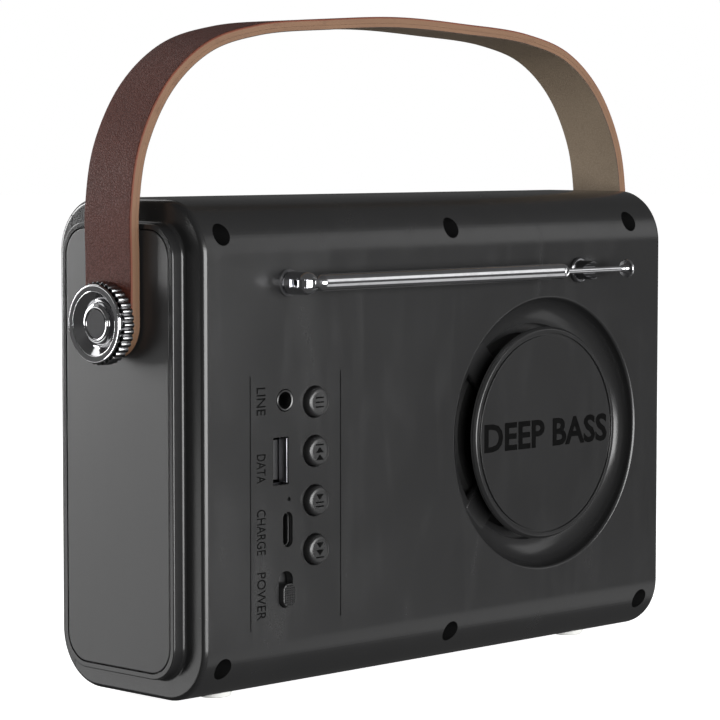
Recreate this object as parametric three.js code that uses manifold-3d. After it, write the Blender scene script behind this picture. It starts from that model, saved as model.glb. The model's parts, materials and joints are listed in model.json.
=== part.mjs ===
// A portable radio with a leather carrying strap. Millimetres, +Z up, back of the radio towards +Y.
// The case frame has its origin under the middle of the case, on the plane of its underside.
import * as THREE from "three";
import { mergeVertices } from "three/addons/utils/BufferGeometryUtils.js";
import Module from "manifold-3d";

const wasm = await Module();
wasm.setup();

// ---- driving dimensions ----
const gap = 0.3; // clearance between touching pieces
const body = { width: 193.6, depth: 60.7, height: 138, corner: 15.7, edge: 1.5, wall: 2.5 };
const backY = body.depth / 2;
const sideX = body.width / 2;
const innerBackY = backY - body.wall;
const cutStartY = 20; // where every cut through the back wall starts, inside the case
const far = 400; // reach of a cutting block
const seamY = -24.4; // parting line of the front bezel and the rear shell
const foot = { radius: 5, height: 1.8, x: 75.5, y: 11 };
const windowFrame = { halfX: 86, lowZ: 14, highZ: 124, corner: 9, ledge: 3, ledgeY: -27.9 };
const plinth = { rise: 4, y: -0.9, halfY: 23.3, lowZ: 6.2, highZ: 131.4, corner: 9.5 };
const inlay = { margin: 1.5, depth: 1.4, corner: 8 };
const screwPlaces = [
  [89, 128.5], [-1.9, 128.5], [-82.8, 128.8],
  [89, 9.6], [-1.9, 9.6], [-88.7, 9.9],
];
const screw = { well: 3, post: 4.5, head: 2.6, shank: 1.5, seatY: 0, postEndY: -5.7, endY: -20 };
const bass = {
  x: -43.2, z: 65.6, mouth: 40.75, throat: 33, depth: 7.4, cap: 32.2, hub: 8, stem: 7, face: 2.2,
  armWidth: 11.5, armDepth: 2.3, plugY: 15,
};
const driver = { x: 48, z: 62, flange: 29, cone: 24, magnet: 16 };
const buttonX = 55;
const buttonPlaces = { mode: 81.1, previous: 67.3, play: 53.4, next: 39.6 };
const button = { radius: 4.1, hole: 4.4, proud: 2.1, flange: 5 };
const aux = { x: 66.5, z: 82.2, barrel: 2.9, bore: 1.8 };
const data = { x: 68.1, z: 65.4, width: 6, height: 13.3 };
const lamp = { x: 65, z: 54.6, radius: 0.5 };
const charge = { x: 65.5, z: 46.1, width: 3.7, height: 9.9 };
const power = {
  x: 66.3, lowZ: 24.3, highZ: 34.5, width: 5.4, corner: 1.6, capLength: 6.6, proud: 2,
};
const pivot = {
  x: 65.3, y: backY + 7.4, z: 114.8, barrel: 3.3, slot: 2.4, slotDepth: 3.4, tongue: 2.7, pin: 0.6,
  flange: 3.9, flangeTopY: backY + 1.2, stem: 1.5, stemHole: 2.6,
};
const clip = {
  x: -57.2, z: 114.6, flange: 3.95, post: 3, rise: 6.25, groove: 4.4, grooveDepth: 1.9, stem: 1.5,
  stemHole: 1.8, stemY: 22,
};
const tubeRadii = [[2.45, 2.15], [1.95, 1.6], [1.45, 1.1]]; // outer and inner radius of each section
const tubeStartX = 59.6;
const tubeEndX = -42.3;
const rod = { radius: 0.85, endX: -68.2, tip: 2.8, tipLength: 3.4 };
const strap = { halfWidth: 9.8, outer: 104.6, leather: 1.9, lining: 1.2, axisZ: 104, hole: 3.3 };
const bolt = { radius: 3, head: 6, startX: 88, seatX: 94, endX: 106.6 };
const knob = { radius: 11.1, startX: 104.95, faceX: 109.8, sides: 28 };
const badge = { radius: 4.35, thickness: 0.9 };
const domeEnd = 60; // degrees of the swivel's domed end, up to its small flat top
const antennaTopY = pivot.y + pivot.barrel * Math.sin(THREE.MathUtils.degToRad(domeEnd));
const caseY = -(antennaTopY - backY) / 2; // puts the middle of the whole depth on Y = 0

// ---- finishes ----
const finish = (color, roughness, metalness = 0) =>
  new THREE.MeshStandardMaterial({ color, roughness, metalness });
const blackShell = finish(0x1e1e1f, 0.45);
const sidePanel = finish(0x343435, 0.4);
const grilleSteel = finish(0x202022, 0.5, 0.7);
const darkGlass = finish(0x08090a, 0.08);
const screwSteel = finish(0x2a2a2c, 0.35, 0.9);
const softBlack = finish(0x151516, 0.7);
const chrome = finish(0xd8d8da, 0.12, 1);
const badgeGrey = finish(0x4c4c50, 0.3, 0.8);
const leather = finish(0x4a2a22, 0.55);
const liningHide = finish(0x75675a, 0.75);
const clearRubber = finish(0xc9cbc8, 0.45);
const board = finish(0x14402a, 0.5);
const cellWrap = finish(0x27415f, 0.4);
const magnetSteel = finish(0x8a8c90, 0.35, 0.9);
const conePaper = finish(0x232325, 0.8);
const lightGuide = finish(0xb8c4cc, 0.2);
const socketSteel = finish(0x9a9ca0, 0.3, 0.9);

// ---- shape helpers ----
function solid(geometry) {
  const bare = geometry.index ? geometry.toNonIndexed() : geometry.clone();
  bare.deleteAttribute("normal");
  bare.deleteAttribute("uv");
  const merged = mergeVertices(bare, 1e-4);
  return new wasm.Manifold(new wasm.Mesh({
    numProp: 3,
    vertProperties: merged.attributes.position.array,
    triVerts: new Uint32Array(merged.index.array),
  }));
}

function surface(manifold) {
  const mesh = manifold.getMesh();
  const geometry = new THREE.BufferGeometry();
  geometry.setAttribute("position", new THREE.BufferAttribute(mesh.vertProperties, 3));
  geometry.setIndex(new THREE.BufferAttribute(mesh.triVerts, 1));
  geometry.computeVertexNormals();
  return geometry;
}

// A rectangle with round corners, from its middle and half sizes.
function roundedOutline(cx, cy, halfX, halfY, radius) {
  const outline = new THREE.Shape();
  const corners = [[1, -1], [1, 1], [-1, 1], [-1, -1]];
  corners.forEach(([sx, sy], quarter) => {
    const start = (quarter - 1) * Math.PI / 2;
    outline.absarc(
      cx + sx * (halfX - radius), cy + sy * (halfY - radius), radius, start, start + Math.PI / 2,
    );
  });
  outline.closePath();
  return outline;
}

// Extrudes an outline drawn in X and Z from y0 to y1.
function alongY(outline, y0, y1, curveSegments = 6) {
  const geometry = new THREE.ExtrudeGeometry(
    outline, { depth: y1 - y0, bevelEnabled: false, curveSegments },
  );
  return geometry.rotateX(Math.PI / 2).translate(0, y1, 0);
}

// Extrudes an outline drawn in Y and Z from x0 to x1, with rounded end edges where edge is given.
function alongX(outline, x0, x1, curveSegments = 6, edge = 0) {
  const geometry = new THREE.ExtrudeGeometry(outline, {
    depth: x1 - x0 - 2 * edge, curveSegments, bevelEnabled: edge > 0,
    bevelThickness: edge, bevelSize: edge, bevelSegments: 2,
  });
  const toX = new THREE.Matrix4().set(0, 0, 1, 0, 1, 0, 0, 0, 0, 1, 0, 0, 0, 0, 0, 1);
  return geometry.applyMatrix4(toX).translate(x0 + edge, 0, 0);
}

const block = (x0, x1, y0, y1, z0, z1) => new THREE.BoxGeometry(x1 - x0, y1 - y0, z1 - z0)
  .translate((x0 + x1) / 2, (y0 + y1) / 2, (z0 + z1) / 2);

// Turns a profile of [radius, distance] pairs about an axis along Y that passes through x and z.
const turnedY = (profile, x, z, segments = 24) => new THREE.LatheGeometry(
  profile.map(([radius, along]) => new THREE.Vector2(radius, along)), segments,
).translate(x, 0, z);

// The same about an axis along X that passes through y and z.
const turnedX = (profile, y, z, segments = 24) => new THREE.LatheGeometry(
  profile.map(([radius, along]) => new THREE.Vector2(radius, along)), segments,
).rotateZ(-Math.PI / 2).translate(0, y, z);

const rodY = (radius, y0, y1, x, z, segments) =>
  turnedY([[0, y0], [radius, y0], [radius, y1], [0, y1]], x, z, segments);
const rodX = (radius, x0, x1, y, z, segments) =>
  turnedX([[0, x0], [radius, x0], [radius, x1], [0, x1]], y, z, segments);

// Joins the first list of geometries and cuts the second from it.
function joined(adds, cuts = []) {
  let result = solid(adds[0]);
  for (const geometry of adds.slice(1)) result = result.add(solid(geometry));
  for (const geometry of cuts) result = result.subtract(solid(geometry));
  return surface(result);
}

const radio = new THREE.Group();
radio.position.set(0, caseY, foot.height);

function add(name, geometry, material, mirrored = false) {
  const mesh = new THREE.Mesh(geometry, material);
  mesh.name = name;
  if (mirrored) mesh.scale.x = -1;
  radio.add(mesh);
}

// ---- case ----
const midZ = body.height / 2;

// A slot with round ends, smaller all round by shrink.
const slotOutline = (place, shrink) => roundedOutline(
  place.x, place.z, place.width / 2 - shrink, place.height / 2 - shrink,
  place.width / 2 - shrink - 0.01,
);

function caseOuter() {
  const outline = roundedOutline(
    0, midZ, backY - body.edge, midZ - body.edge, body.corner - body.edge,
  );
  return alongX(outline, -sideX, sideX, 5, body.edge);
}

function caseInner() {
  const outline = roundedOutline(
    0, midZ, backY - body.wall, midZ - body.wall, body.corner - body.wall,
  );
  return alongX(outline, -sideX + body.wall, sideX - body.wall, 4);
}

// The opening round the bass cap: a straight throat that widens like a bowl.
function bassPlug() {
  const profile = [
    [0, bass.plugY], [bass.throat, bass.plugY], [bass.throat, backY - bass.depth],
  ];
  const steps = 4;
  for (let step = 1; step <= steps; step += 1) {
    const turn = (step / steps) * Math.PI / 2;
    profile.push([
      bass.throat + (bass.mouth - bass.throat) * Math.sin(turn),
      backY - bass.depth * Math.cos(turn),
    ]);
  }
  profile.push([bass.mouth, backY + 5], [0, backY + 5]);
  return turnedY(profile, bass.x, bass.z, 40);
}

// The wall behind the bowl, as a solid that the plug is cut from.
const bassFunnel = () => turnedY(
  [[0, 20.5], [36, 20.5], [38, 22], [43.5, 28.5], [0, 28.5]], bass.x, bass.z, 40,
);

function bassArm(angle) {
  const startX = bass.hub / 2;
  const length = bass.throat + 1 - startX;
  return new THREE.BoxGeometry(length, bass.armDepth, bass.armWidth)
    .translate(startX + length / 2, 0, 0)
    .rotateY(angle)
    .translate(bass.x, backY - bass.depth - bass.armDepth / 2, bass.z);
}

function rearShell() {
  let shell = solid(caseOuter()).subtract(solid(caseInner()));
  shell = shell.add(solid(bassFunnel())).subtract(solid(bassPlug()));
  for (const [x, z] of screwPlaces) {
    shell = shell.add(solid(rodY(screw.post, screw.postEndY, innerBackY - 0.5, x, z, 12)));
  }
  for (const angle of [45, 135, 225, 315]) {
    shell = shell.add(solid(bassArm(THREE.MathUtils.degToRad(angle))));
  }
  const armTopY = backY - bass.depth;
  shell = shell.add(solid(rodY(bass.hub, armTopY - bass.armDepth, armTopY, bass.x, bass.z, 24)));
  const cuts = [block(-far, far, -far, seamY, -far, far)];
  for (const [x, z] of screwPlaces) {
    cuts.push(rodY(screw.well, screw.seatY, backY + 5, x, z, 12));
    cuts.push(rodY(screw.shank + gap, screw.postEndY - 5, screw.seatY + 1, x, z, 8));
    cuts.push(rodY(screw.post + gap, seamY - 5, screw.postEndY, x, z, 12));
  }
  for (const z of Object.values(buttonPlaces)) {
    cuts.push(rodY(button.hole, cutStartY, backY + 5, buttonX, z, 18));
  }
  cuts.push(rodY(aux.barrel + gap, cutStartY, backY + 5, aux.x, aux.z, 16));
  cuts.push(block(
    data.x - data.width / 2, data.x + data.width / 2, cutStartY, backY + 5,
    data.z - data.height / 2, data.z + data.height / 2,
  ));
  cuts.push(rodY(lamp.radius + gap, cutStartY, backY + 5, lamp.x, lamp.z, 8));
  cuts.push(alongY(slotOutline(charge, 0), cutStartY, backY + 5, 4));
  cuts.push(alongY(roundedOutline(
    power.x, (power.lowZ + power.highZ) / 2, power.width / 2, (power.highZ - power.lowZ) / 2,
    power.corner,
  ), cutStartY, backY + 5, 3));
  for (const { stemHole, x, z } of [pivot, clip]) {
    cuts.push(rodY(stemHole, cutStartY, backY + 5, x, z, 12));
  }
  cuts.push(rodX(bolt.radius + gap, -sideX - 5, sideX + 5, 0, strap.axisZ, 16));
  for (const geometry of cuts) shell = shell.subtract(solid(geometry));
  return surface(shell);
}
add("rear_shell", rearShell(), blackShell);

function frontWindow(shrink, y0, y1) {
  const { halfX, lowZ, highZ, corner } = windowFrame;
  return alongY(roundedOutline(
    0, (lowZ + highZ) / 2, halfX - shrink, (highZ - lowZ) / 2 - shrink, corner - shrink,
  ), y0, y1, 4);
}

function frontBezel() {
  let bezel = solid(caseOuter()).subtract(solid(block(-far, far, seamY - gap, far, -far, far)));
  bezel = bezel.subtract(solid(frontWindow(0, -far, windowFrame.ledgeY)));
  bezel = bezel.subtract(solid(frontWindow(windowFrame.ledge, -far, 0)));
  for (const [x, z] of screwPlaces) {
    bezel = bezel.add(solid(rodY(screw.post, seamY - 2, screw.postEndY - gap, x, z, 12)));
    bezel = bezel.subtract(solid(rodY(screw.shank + gap, screw.endY - 1, 0, x, z, 8)));
  }
  return surface(bezel);
}
add("front_bezel", frontBezel(), blackShell);

const display = { halfX: 15, z: 100, halfZ: 8, corner: 2.5 };
const displayOutline = (grow) => roundedOutline(
  0, display.z, display.halfX + grow, display.halfZ + grow, display.corner + grow,
);
const grilleY = windowFrame.ledgeY - gap;
add("front_grille", joined(
  [frontWindow(gap, grilleY - 0.8, grilleY)], [alongY(displayOutline(gap), -40, 0, 3)],
), grilleSteel);
add("display_window", alongY(displayOutline(0), grilleY - 1, seamY - gap, 3), darkGlass);
add("display_module", block(-18, 18, -21.7, -18.5, display.z - 10, display.z + 10), board);

const baffleCuts = [-driver.x, driver.x].map((x) => rodY(driver.cone + 1, -40, 0, x, driver.z, 24));
add("front_baffle", joined([alongY(
  roundedOutline(0, midZ, 90, 53, 4), seamY + 0.1, seamY + 2.4, 3,
)], baffleCuts), softBlack);

// Side plinths with the flat panels let into them.
const plinthMidZ = (plinth.lowZ + plinth.highZ) / 2;
const plinthHalfZ = (plinth.highZ - plinth.lowZ) / 2;
const plinthOutline = (shrink, corner) => roundedOutline(
  plinth.y, plinthMidZ, plinth.halfY - shrink, plinthHalfZ - shrink, corner,
);
const plinthTopX = sideX + plinth.rise;
for (const [side, mirrored] of [["right", false], ["left", true]]) {
  const boltHole = rodX(bolt.radius + gap, 80, 120, 0, strap.axisZ, 16);
  add(`side_cap_${side}`, joined(
    [alongX(plinthOutline(1, plinth.corner - 1), sideX - 1, plinthTopX, 4, 1)],
    [
      block(0, sideX + gap, -50, 50, -10, 150),
      alongX(plinthOutline(inlay.margin, inlay.corner), plinthTopX - inlay.depth, 120, 4),
      boltHole,
    ],
  ), sidePanel, mirrored);
  add(`side_inlay_${side}`, joined([alongX(
    plinthOutline(inlay.margin + gap, inlay.corner - gap), plinthTopX - inlay.depth + gap,
    plinthTopX - 0.1, 4,
  )], [boltHole]), sidePanel, mirrored);
}

screwPlaces.forEach(([x, z], index) => {
  const headY = screw.seatY + gap;
  add(`case_screw_${index + 1}`, turnedY([
    [0, screw.endY], [screw.shank, screw.endY + 1.5], [screw.shank, headY], [screw.head, headY],
    [screw.head, headY + 1.6], [0, headY + 1.6],
  ], x, z, 8), screwSteel);
});

for (const [index, [sx, sy]] of [[-1, -1], [1, -1], [-1, 1], [1, 1]].entries()) {
  add(`foot_${index + 1}`, new THREE.CylinderGeometry(
    foot.radius, foot.radius - 0.5, foot.height - gap, 20,
  ).rotateX(Math.PI / 2).translate(
    sx * foot.x, sy * foot.y, -(foot.height + gap) / 2,
  ), clearRubber);
}

// ---- bass radiator in the back wall ----
const capBackY = backY - bass.depth + gap;
add("bass_cap", turnedY([
  [0, capBackY], [bass.stem, capBackY], [bass.stem, backY - bass.face],
  [bass.cap - 0.6, backY - bass.face],
  [bass.cap, backY - 1.6], [bass.cap, backY - 0.6], [bass.cap - 0.6, backY], [0, backY],
], bass.x, bass.z, 40), softBlack);
add("radiator_frame", turnedY([
  [30, 14.5], [35, 14.5], [38, 17.5], [38, 20.2], [30, 20.2], [30, 14.5],
], bass.x, bass.z, 28), softBlack);
add("radiator_surround", turnedY([
  [22.4, 15.5], [29.7, 15.5], [29.7, 16.4], [27.6, 19.2], [24.5, 19.2], [22.4, 16.4], [22.4, 15.5],
], bass.x, bass.z, 28), softBlack);
add("radiator_plate", rodY(22.1, 14.2, 16.8, bass.x, bass.z, 28), magnetSteel);

// ---- loudspeakers, power and electronics ----
for (const [side, x] of [["left", -driver.x], ["right", driver.x]]) {
  const faceY = seamY + 2.7;
  add(`driver_basket_${side}`, turnedY([
    [driver.cone, faceY], [driver.flange, faceY], [driver.flange, faceY + 1.6], [24.5, faceY + 2],
    [15, -7.2], [11, -7.2], [11, -9], [21, faceY + 3.4], [driver.cone, faceY],
  ], x, driver.z, 20), screwSteel);
  add(`driver_cone_${side}`, turnedY([
    [0, -11], [7, -11], [20.3, faceY + 2.4], [23.5, faceY - 0.6], [23.5, faceY - 1],
    [22, faceY - 1.4], [19.8, faceY + 1.6], [7, -12.3], [4, -13.6], [0, -14.2],
  ].reverse(), x, driver.z, 20), conePaper);
  add(`driver_magnet_${side}`, rodY(driver.magnet, -6.9, 3, x, driver.z, 20), magnetSteel);
}
add("battery_pack", alongY(roundedOutline(20.5, 55, 18.5, 35, 9), 4.5, 23.5, 5), cellWrap);
add("main_board", block(-45, 48, -18, 22, 110.4, 112), board);
add("control_board", block(42, 84, 12, 13.6, 17, 96), board);
add("button_bracket", block(50, 60, 13.9, 24.2, 33, 88), softBlack);

// ---- sockets, lamp, buttons and the power slider ----
const boardBackY = 13.9;
const socketFaceY = innerBackY - gap;
add("aux_socket", joined([
  block(aux.x - 4.5, aux.x + 4.5, boardBackY, socketFaceY, aux.z - 5.5, aux.z + 5.5),
  rodY(aux.barrel, socketFaceY - 1, backY + 0.2, aux.x, aux.z, 16),
], [rodY(aux.bore, boardBackY + 1.5, backY + 2, aux.x, aux.z, 12)]), socketSteel);
add("data_socket", joined([
  block(data.x - 3.6, data.x + 3.6, boardBackY, socketFaceY, data.z - 7.2, data.z + 7.2),
], [
  block(data.x - 2.6, data.x - 0.6, 17, 40, data.z - 6.2, data.z + 6.2),
  block(data.x - 1, data.x + 2.6, 25.6, 40, data.z - 6.2, data.z + 6.2),
  block(data.x + 1.2, data.x + 2.6, 17, 40, data.z - 6.2, data.z + 6.2),
]), socketSteel);
add("charge_socket", joined([
  block(charge.x - 2.2, charge.x + 2.2, boardBackY, socketFaceY, charge.z - 5.2, charge.z + 5.2),
], [
  alongY(slotOutline(charge, 0.4), 24, 40, 4),
  block(charge.x - 1.1, charge.x - 0.4, 17, 30, charge.z - 3.5, charge.z + 3.5),
]), socketSteel);
add("status_light", rodY(lamp.radius, boardBackY, backY - 0.2, lamp.x, lamp.z, 8), lightGuide);
for (const [name, z] of Object.entries(buttonPlaces)) {
  const top = backY + button.proud;
  add(`button_${name}`, turnedY([
    [0, 25.6], [button.flange, 25.6], [button.flange, 27.4], [button.radius, 27.4],
    [button.radius, top - 0.6], [button.radius - 0.6, top], [0, top],
  ], buttonX, z, 18), softBlack);
}
const sliderZ = power.lowZ + gap + power.capLength / 2;
add("power_slider", joined([
  alongY(roundedOutline(
    power.x, sliderZ, power.width / 2 - gap, power.capLength / 2, power.corner - gap,
  ), 26, backY + power.proud, 3),
  block(power.x - 3.8, power.x + 3.8, 25, 27.3, sliderZ - 5, sliderZ + 5),
]), softBlack);

// ---- folding telescopic antenna ----
add("antenna_boss", turnedY([
  [pivot.stem + gap, cutStartY], [2.3, cutStartY], [2.3, backY + gap],
  [pivot.flange, backY + gap], [pivot.flange, pivot.flangeTopY],
  [pivot.stem + gap, pivot.flangeTopY], [pivot.stem + gap, cutStartY],
], pivot.x, pivot.z, 16), chrome);

function antennaSwivel() {
  const startY = pivot.flangeTopY + gap;
  const profile = [
    [0, cutStartY + 1], [pivot.stem, cutStartY + 1], [pivot.stem, startY], [pivot.barrel, startY],
  ];
  for (const degrees of [0, domeEnd / 2, domeEnd]) {
    const turn = THREE.MathUtils.degToRad(degrees);
    profile.push([pivot.barrel * Math.cos(turn), pivot.y + pivot.barrel * Math.sin(turn)]);
  }
  profile.push([0, antennaTopY]);
  return joined([turnedY(profile, pivot.x, pivot.z, 16)], [
    block(
      pivot.x - 6, pivot.x + 6, pivot.y - pivot.slotDepth, pivot.y + 6,
      pivot.z - pivot.slot / 2, pivot.z + pivot.slot / 2,
    ),
    pinRod(pivot.pin + gap, 6),
  ]);
}

const pinRod = (radius, half) => new THREE.CylinderGeometry(radius, radius, 2 * half, 8)
  .rotateX(Math.PI / 2).translate(pivot.x, pivot.y, pivot.z);
add("antenna_swivel", antennaSwivel(), chrome);
add("antenna_pin", pinRod(pivot.pin, 3.2), chrome);

// The first section ends in a flat knuckle that the pin passes through.
function firstTube() {
  const [outer, inner] = tubeRadii[0];
  const tongue = pivot.slot / 2 - gap;
  return joined([
    turnedX([
      [0, tubeStartX + 1.6], [1, tubeStartX + 1.6], [outer - 0.4, tubeStartX], [outer, tubeStartX - 1],
      [outer, tubeEndX + 0.4], [outer - 0.15, tubeEndX], [inner, tubeEndX], [inner, tubeStartX - 2.2],
      [0, tubeStartX - 2.2],
    ].reverse(), pivot.y, pivot.z, 12),
    new THREE.CylinderGeometry(pivot.tongue, pivot.tongue, 2 * tongue, 16).rotateX(Math.PI / 2)
      .translate(pivot.x, pivot.y, pivot.z),
    block(
      tubeStartX - 0.5, pivot.x, pivot.y - 1.5, pivot.y + 1.5, pivot.z - tongue, pivot.z + tongue,
    ),
  ], [pinRod(pivot.pin + gap, 6)]);
}
add("antenna_tube_1", firstTube(), chrome);
for (const section of [1, 2]) {
  const [outer, inner] = tubeRadii[section];
  const start = tubeStartX - 2.2 - 1.2 * section;
  const end = tubeEndX - gap * section;
  add(`antenna_tube_${section + 1}`, turnedX([
    [0, start], [outer, start], [outer, end], [inner, end], [inner, start - 0.9], [0, start - 0.9],
  ].reverse(), pivot.y, pivot.z, 12), chrome);
}
add("antenna_rod", rodX(rod.radius, rod.endX, tubeStartX - 6, pivot.y, pivot.z, 8), chrome);
const tipStart = rod.endX - gap;
add("antenna_tip", turnedX([
  [0, tipStart - rod.tipLength], [rod.tip - 0.3, tipStart - rod.tipLength],
  [rod.tip, tipStart - rod.tipLength + 0.3], [rod.tip, tipStart - rod.tipLength + 1.6],
  [1.9, tipStart - rod.tipLength + 2], [1.1, tipStart], [0, tipStart],
], pivot.y, pivot.z, 14), chrome);
add("antenna_clip", joined([turnedY([
  [0, clip.stemY], [clip.stem, clip.stemY], [clip.stem, backY + gap],
  [clip.flange, backY + gap], [clip.flange, backY + 1.2],
  [clip.post, backY + 1.2], [clip.post, backY + clip.rise], [0, backY + clip.rise],
], clip.x, clip.z, 16)], [alongX(
  roundedOutline(
    backY + clip.rise + 2.2 - clip.grooveDepth, clip.z, 2.2, clip.groove / 2, 2.19,
  ), clip.x - 10, clip.x + 10, 3,
)]), screwSteel);

// ---- carrying strap and its knobs ----
// Half of the strap's outer line in X and Z, from the bolt axis up to the middle of the arch.
const strapLine = [
  [strap.outer, strap.axisZ], [strap.outer, 120], [strap.outer, 136], [101.3, 153], [91.4, 169.8],
  [76.5, 181.2], [57, 186.6], [28, 189], [0, 190.2],
];

// The layer of the strap that lies between two depths under the outer line.
function strapLayer(depthA, depthB) {
  const whole = [...strapLine, ...strapLine.slice(0, -1).reverse().map(([x, z]) => [-x, z])];
  const curve = new THREE.CatmullRomCurve3(
    whole.map(([x, z]) => new THREE.Vector3(x, z, 0)), false, "centripetal",
  );
  const steps = 40;
  const rim = (depth) => {
    const points = [];
    for (let step = 0; step <= steps; step += 1) {
      const at = curve.getPointAt(step / steps);
      const way = curve.getTangentAt(step / steps);
      points.push(new THREE.Vector2(at.x - way.y * depth, at.y + way.x * depth));
    }
    return points;
  };
  const outline = new THREE.Shape([...rim(depthA), ...rim(depthB).reverse()]);
  const ends = [-1, 1].map((side) => {
    const near = strap.outer - depthB;
    const far = strap.outer - depthA;
    return rodX(
      strap.halfWidth, Math.min(side * near, side * far), Math.max(side * near, side * far),
      0, strap.axisZ, 28,
    );
  });
  return joined(
    [alongY(outline, -strap.halfWidth, strap.halfWidth), ...ends],
    [rodX(strap.hole, -120, 120, 0, strap.axisZ, 16)],
  );
}
add("handle_strap", strapLayer(0, strap.leather), leather);
add("handle_lining", strapLayer(
  strap.leather + 0.1, strap.leather + 0.1 + strap.lining,
), liningHide);

for (const [side, mirrored] of [["right", false], ["left", true]]) {
  add(`handle_bolt_${side}`, turnedX([
    [0, bolt.startX], [bolt.head, bolt.startX], [bolt.head, bolt.seatX], [bolt.radius, bolt.seatX],
    [bolt.radius, bolt.endX], [0, bolt.endX],
  ], 0, strap.axisZ, 16), screwSteel, mirrored);
  const face = knob.faceX;
  add(`knob_${side}`, turnedX([
    [0, bolt.endX + gap], [bolt.radius + gap, bolt.endX + gap], [bolt.radius + gap, knob.startX],
    [knob.radius - 0.8, knob.startX], [knob.radius, face - 1.2], [knob.radius, face],
    [knob.radius - 1.7, face], [6.1, face - 1.7], [5.2, face - 1], [5.1, face - 1.7],
    [0, face - 1.7],
  ], 0, strap.axisZ, knob.sides), chrome, mirrored);
  add(`knob_badge_${side}`, rodX(
    badge.radius, face - 1.4, face - 1.4 + badge.thickness, 0, strap.axisZ, 20,
  ), badgeGrey, mirrored);
}

export default radio;
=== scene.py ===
"""The looks of a portable radio with a leather carrying strap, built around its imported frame.

Shapes are modelled in millimetres in the case frame: X along the width, +Y out of the back, +Z up,
with the origin under the middle of the case. Each finished mesh is then placed in the row frame.
"""

import bisect
import json
import logging
import math
from dataclasses import dataclass, field
from enum import Enum
from typing import Iterable, Sequence

import bmesh
import bpy
from mathutils import Matrix, Vector


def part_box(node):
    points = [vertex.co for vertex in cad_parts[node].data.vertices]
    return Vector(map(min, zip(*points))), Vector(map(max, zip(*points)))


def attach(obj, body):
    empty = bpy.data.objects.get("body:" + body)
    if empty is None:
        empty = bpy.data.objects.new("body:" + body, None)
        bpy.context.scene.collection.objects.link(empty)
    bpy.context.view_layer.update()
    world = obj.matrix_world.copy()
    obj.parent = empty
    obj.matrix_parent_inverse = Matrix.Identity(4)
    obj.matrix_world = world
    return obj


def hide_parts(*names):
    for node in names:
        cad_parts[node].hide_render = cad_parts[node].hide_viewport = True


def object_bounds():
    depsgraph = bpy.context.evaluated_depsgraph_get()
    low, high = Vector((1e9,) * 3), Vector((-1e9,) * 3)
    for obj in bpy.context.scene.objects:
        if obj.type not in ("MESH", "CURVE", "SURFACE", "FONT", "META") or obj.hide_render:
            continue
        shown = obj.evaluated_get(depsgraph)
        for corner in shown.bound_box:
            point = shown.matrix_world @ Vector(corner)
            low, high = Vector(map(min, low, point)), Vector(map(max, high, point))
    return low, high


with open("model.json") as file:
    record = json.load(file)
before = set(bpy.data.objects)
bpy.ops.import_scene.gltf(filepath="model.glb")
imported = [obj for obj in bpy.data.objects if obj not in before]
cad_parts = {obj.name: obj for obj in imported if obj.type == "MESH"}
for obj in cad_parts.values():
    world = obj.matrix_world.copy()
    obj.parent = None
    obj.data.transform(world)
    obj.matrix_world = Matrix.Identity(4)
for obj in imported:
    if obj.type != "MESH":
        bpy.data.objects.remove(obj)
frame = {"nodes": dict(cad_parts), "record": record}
CAD_BOX = [list(corner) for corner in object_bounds()]
LOG = logging.getLogger("radio")
Point = Sequence[float]
Pair = tuple[float, float]
Triple = tuple[float, float, float]
Profile = Sequence[Pair]
Mesh = bmesh.types.BMesh
BACK_Y = (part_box("rear_shell")[1].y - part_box("front_bezel")[0].y) * 500
CASE_ORIGIN = Vector((
    0.0, (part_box("rear_shell")[1].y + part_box("front_bezel")[0].y) / 2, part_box("rear_shell")[0].z,
))
MM = 0.001
TO_ROW = Matrix.Translation(CASE_ORIGIN) @ Matrix.Scale(MM, 4)
FAR = 300.0             # reach of a block that cuts half of the case away
OUTSIDE = BACK_Y + 5    # where a tool that cuts through the back wall ends
INSIDE = 20.0           # and where it starts
BEFORE_FRONT = -60.0    # where a tool that cuts through the front starts
NEAR, NEARER = 1e-4, 1e-5   # points closer than this are one point
BOLT_RADIUS, BOLT_Z = 3.3, 104.0   # the holes for the strap's bolts


class Axis(Enum):
    """The direction that a turned or extruded shape runs along."""

    X = 0
    Y = 1
    Z = 2


@dataclass(frozen=True)
class Seat:
    """The room a CAD node takes, in millimetres in the case frame."""

    low: Vector
    high: Vector

    @classmethod
    def of(cls, node: str) -> "Seat":
        """Reads a node's box.

        Args:
            node: the CAD node's name.

        Returns:
            Its seat in the case frame.
        """
        low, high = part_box(node)
        return cls((low - CASE_ORIGIN) * 1000, (high - CASE_ORIGIN) * 1000)

    @property
    def middle(self) -> Vector:
        """The middle of the box."""
        return (self.low + self.high) / 2

    @property
    def centre(self) -> Pair:
        """X and Z of the middle, where a part that is turned along Y has its axis."""
        return self.middle.x, self.middle.z

    @property
    def size(self) -> Vector:
        """The box's three sizes."""
        return self.high - self.low


# Shader building


class Wire:
    """A shader socket that takes part in arithmetic."""

    def __init__(self, shader: "Shader", socket: bpy.types.NodeSocket | None) -> None:
        """Keeps the socket and the shader it belongs to."""
        self.shader = shader
        self.socket = socket

    def _math(self, operation: str, first: "Wire | float", second: "Wire | float") -> "Wire":
        """Adds one Math node and returns its result."""
        return self.shader.node("ShaderNodeMath", {"operation": operation}, {0: first, 1: second})

    def __add__(self, other: "Wire | float") -> "Wire":
        """Sum."""
        return self._math("ADD", self, other)

    __radd__ = __add__

    def __sub__(self, other: "Wire | float") -> "Wire":
        """Difference."""
        return self._math("SUBTRACT", self, other)

    def __rsub__(self, other: float) -> "Wire":
        """Difference the other way round."""
        return self._math("SUBTRACT", other, self)

    def __mul__(self, other: "Wire | float") -> "Wire":
        """Product."""
        return self._math("MULTIPLY", self, other)

    __rmul__ = __mul__


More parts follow.
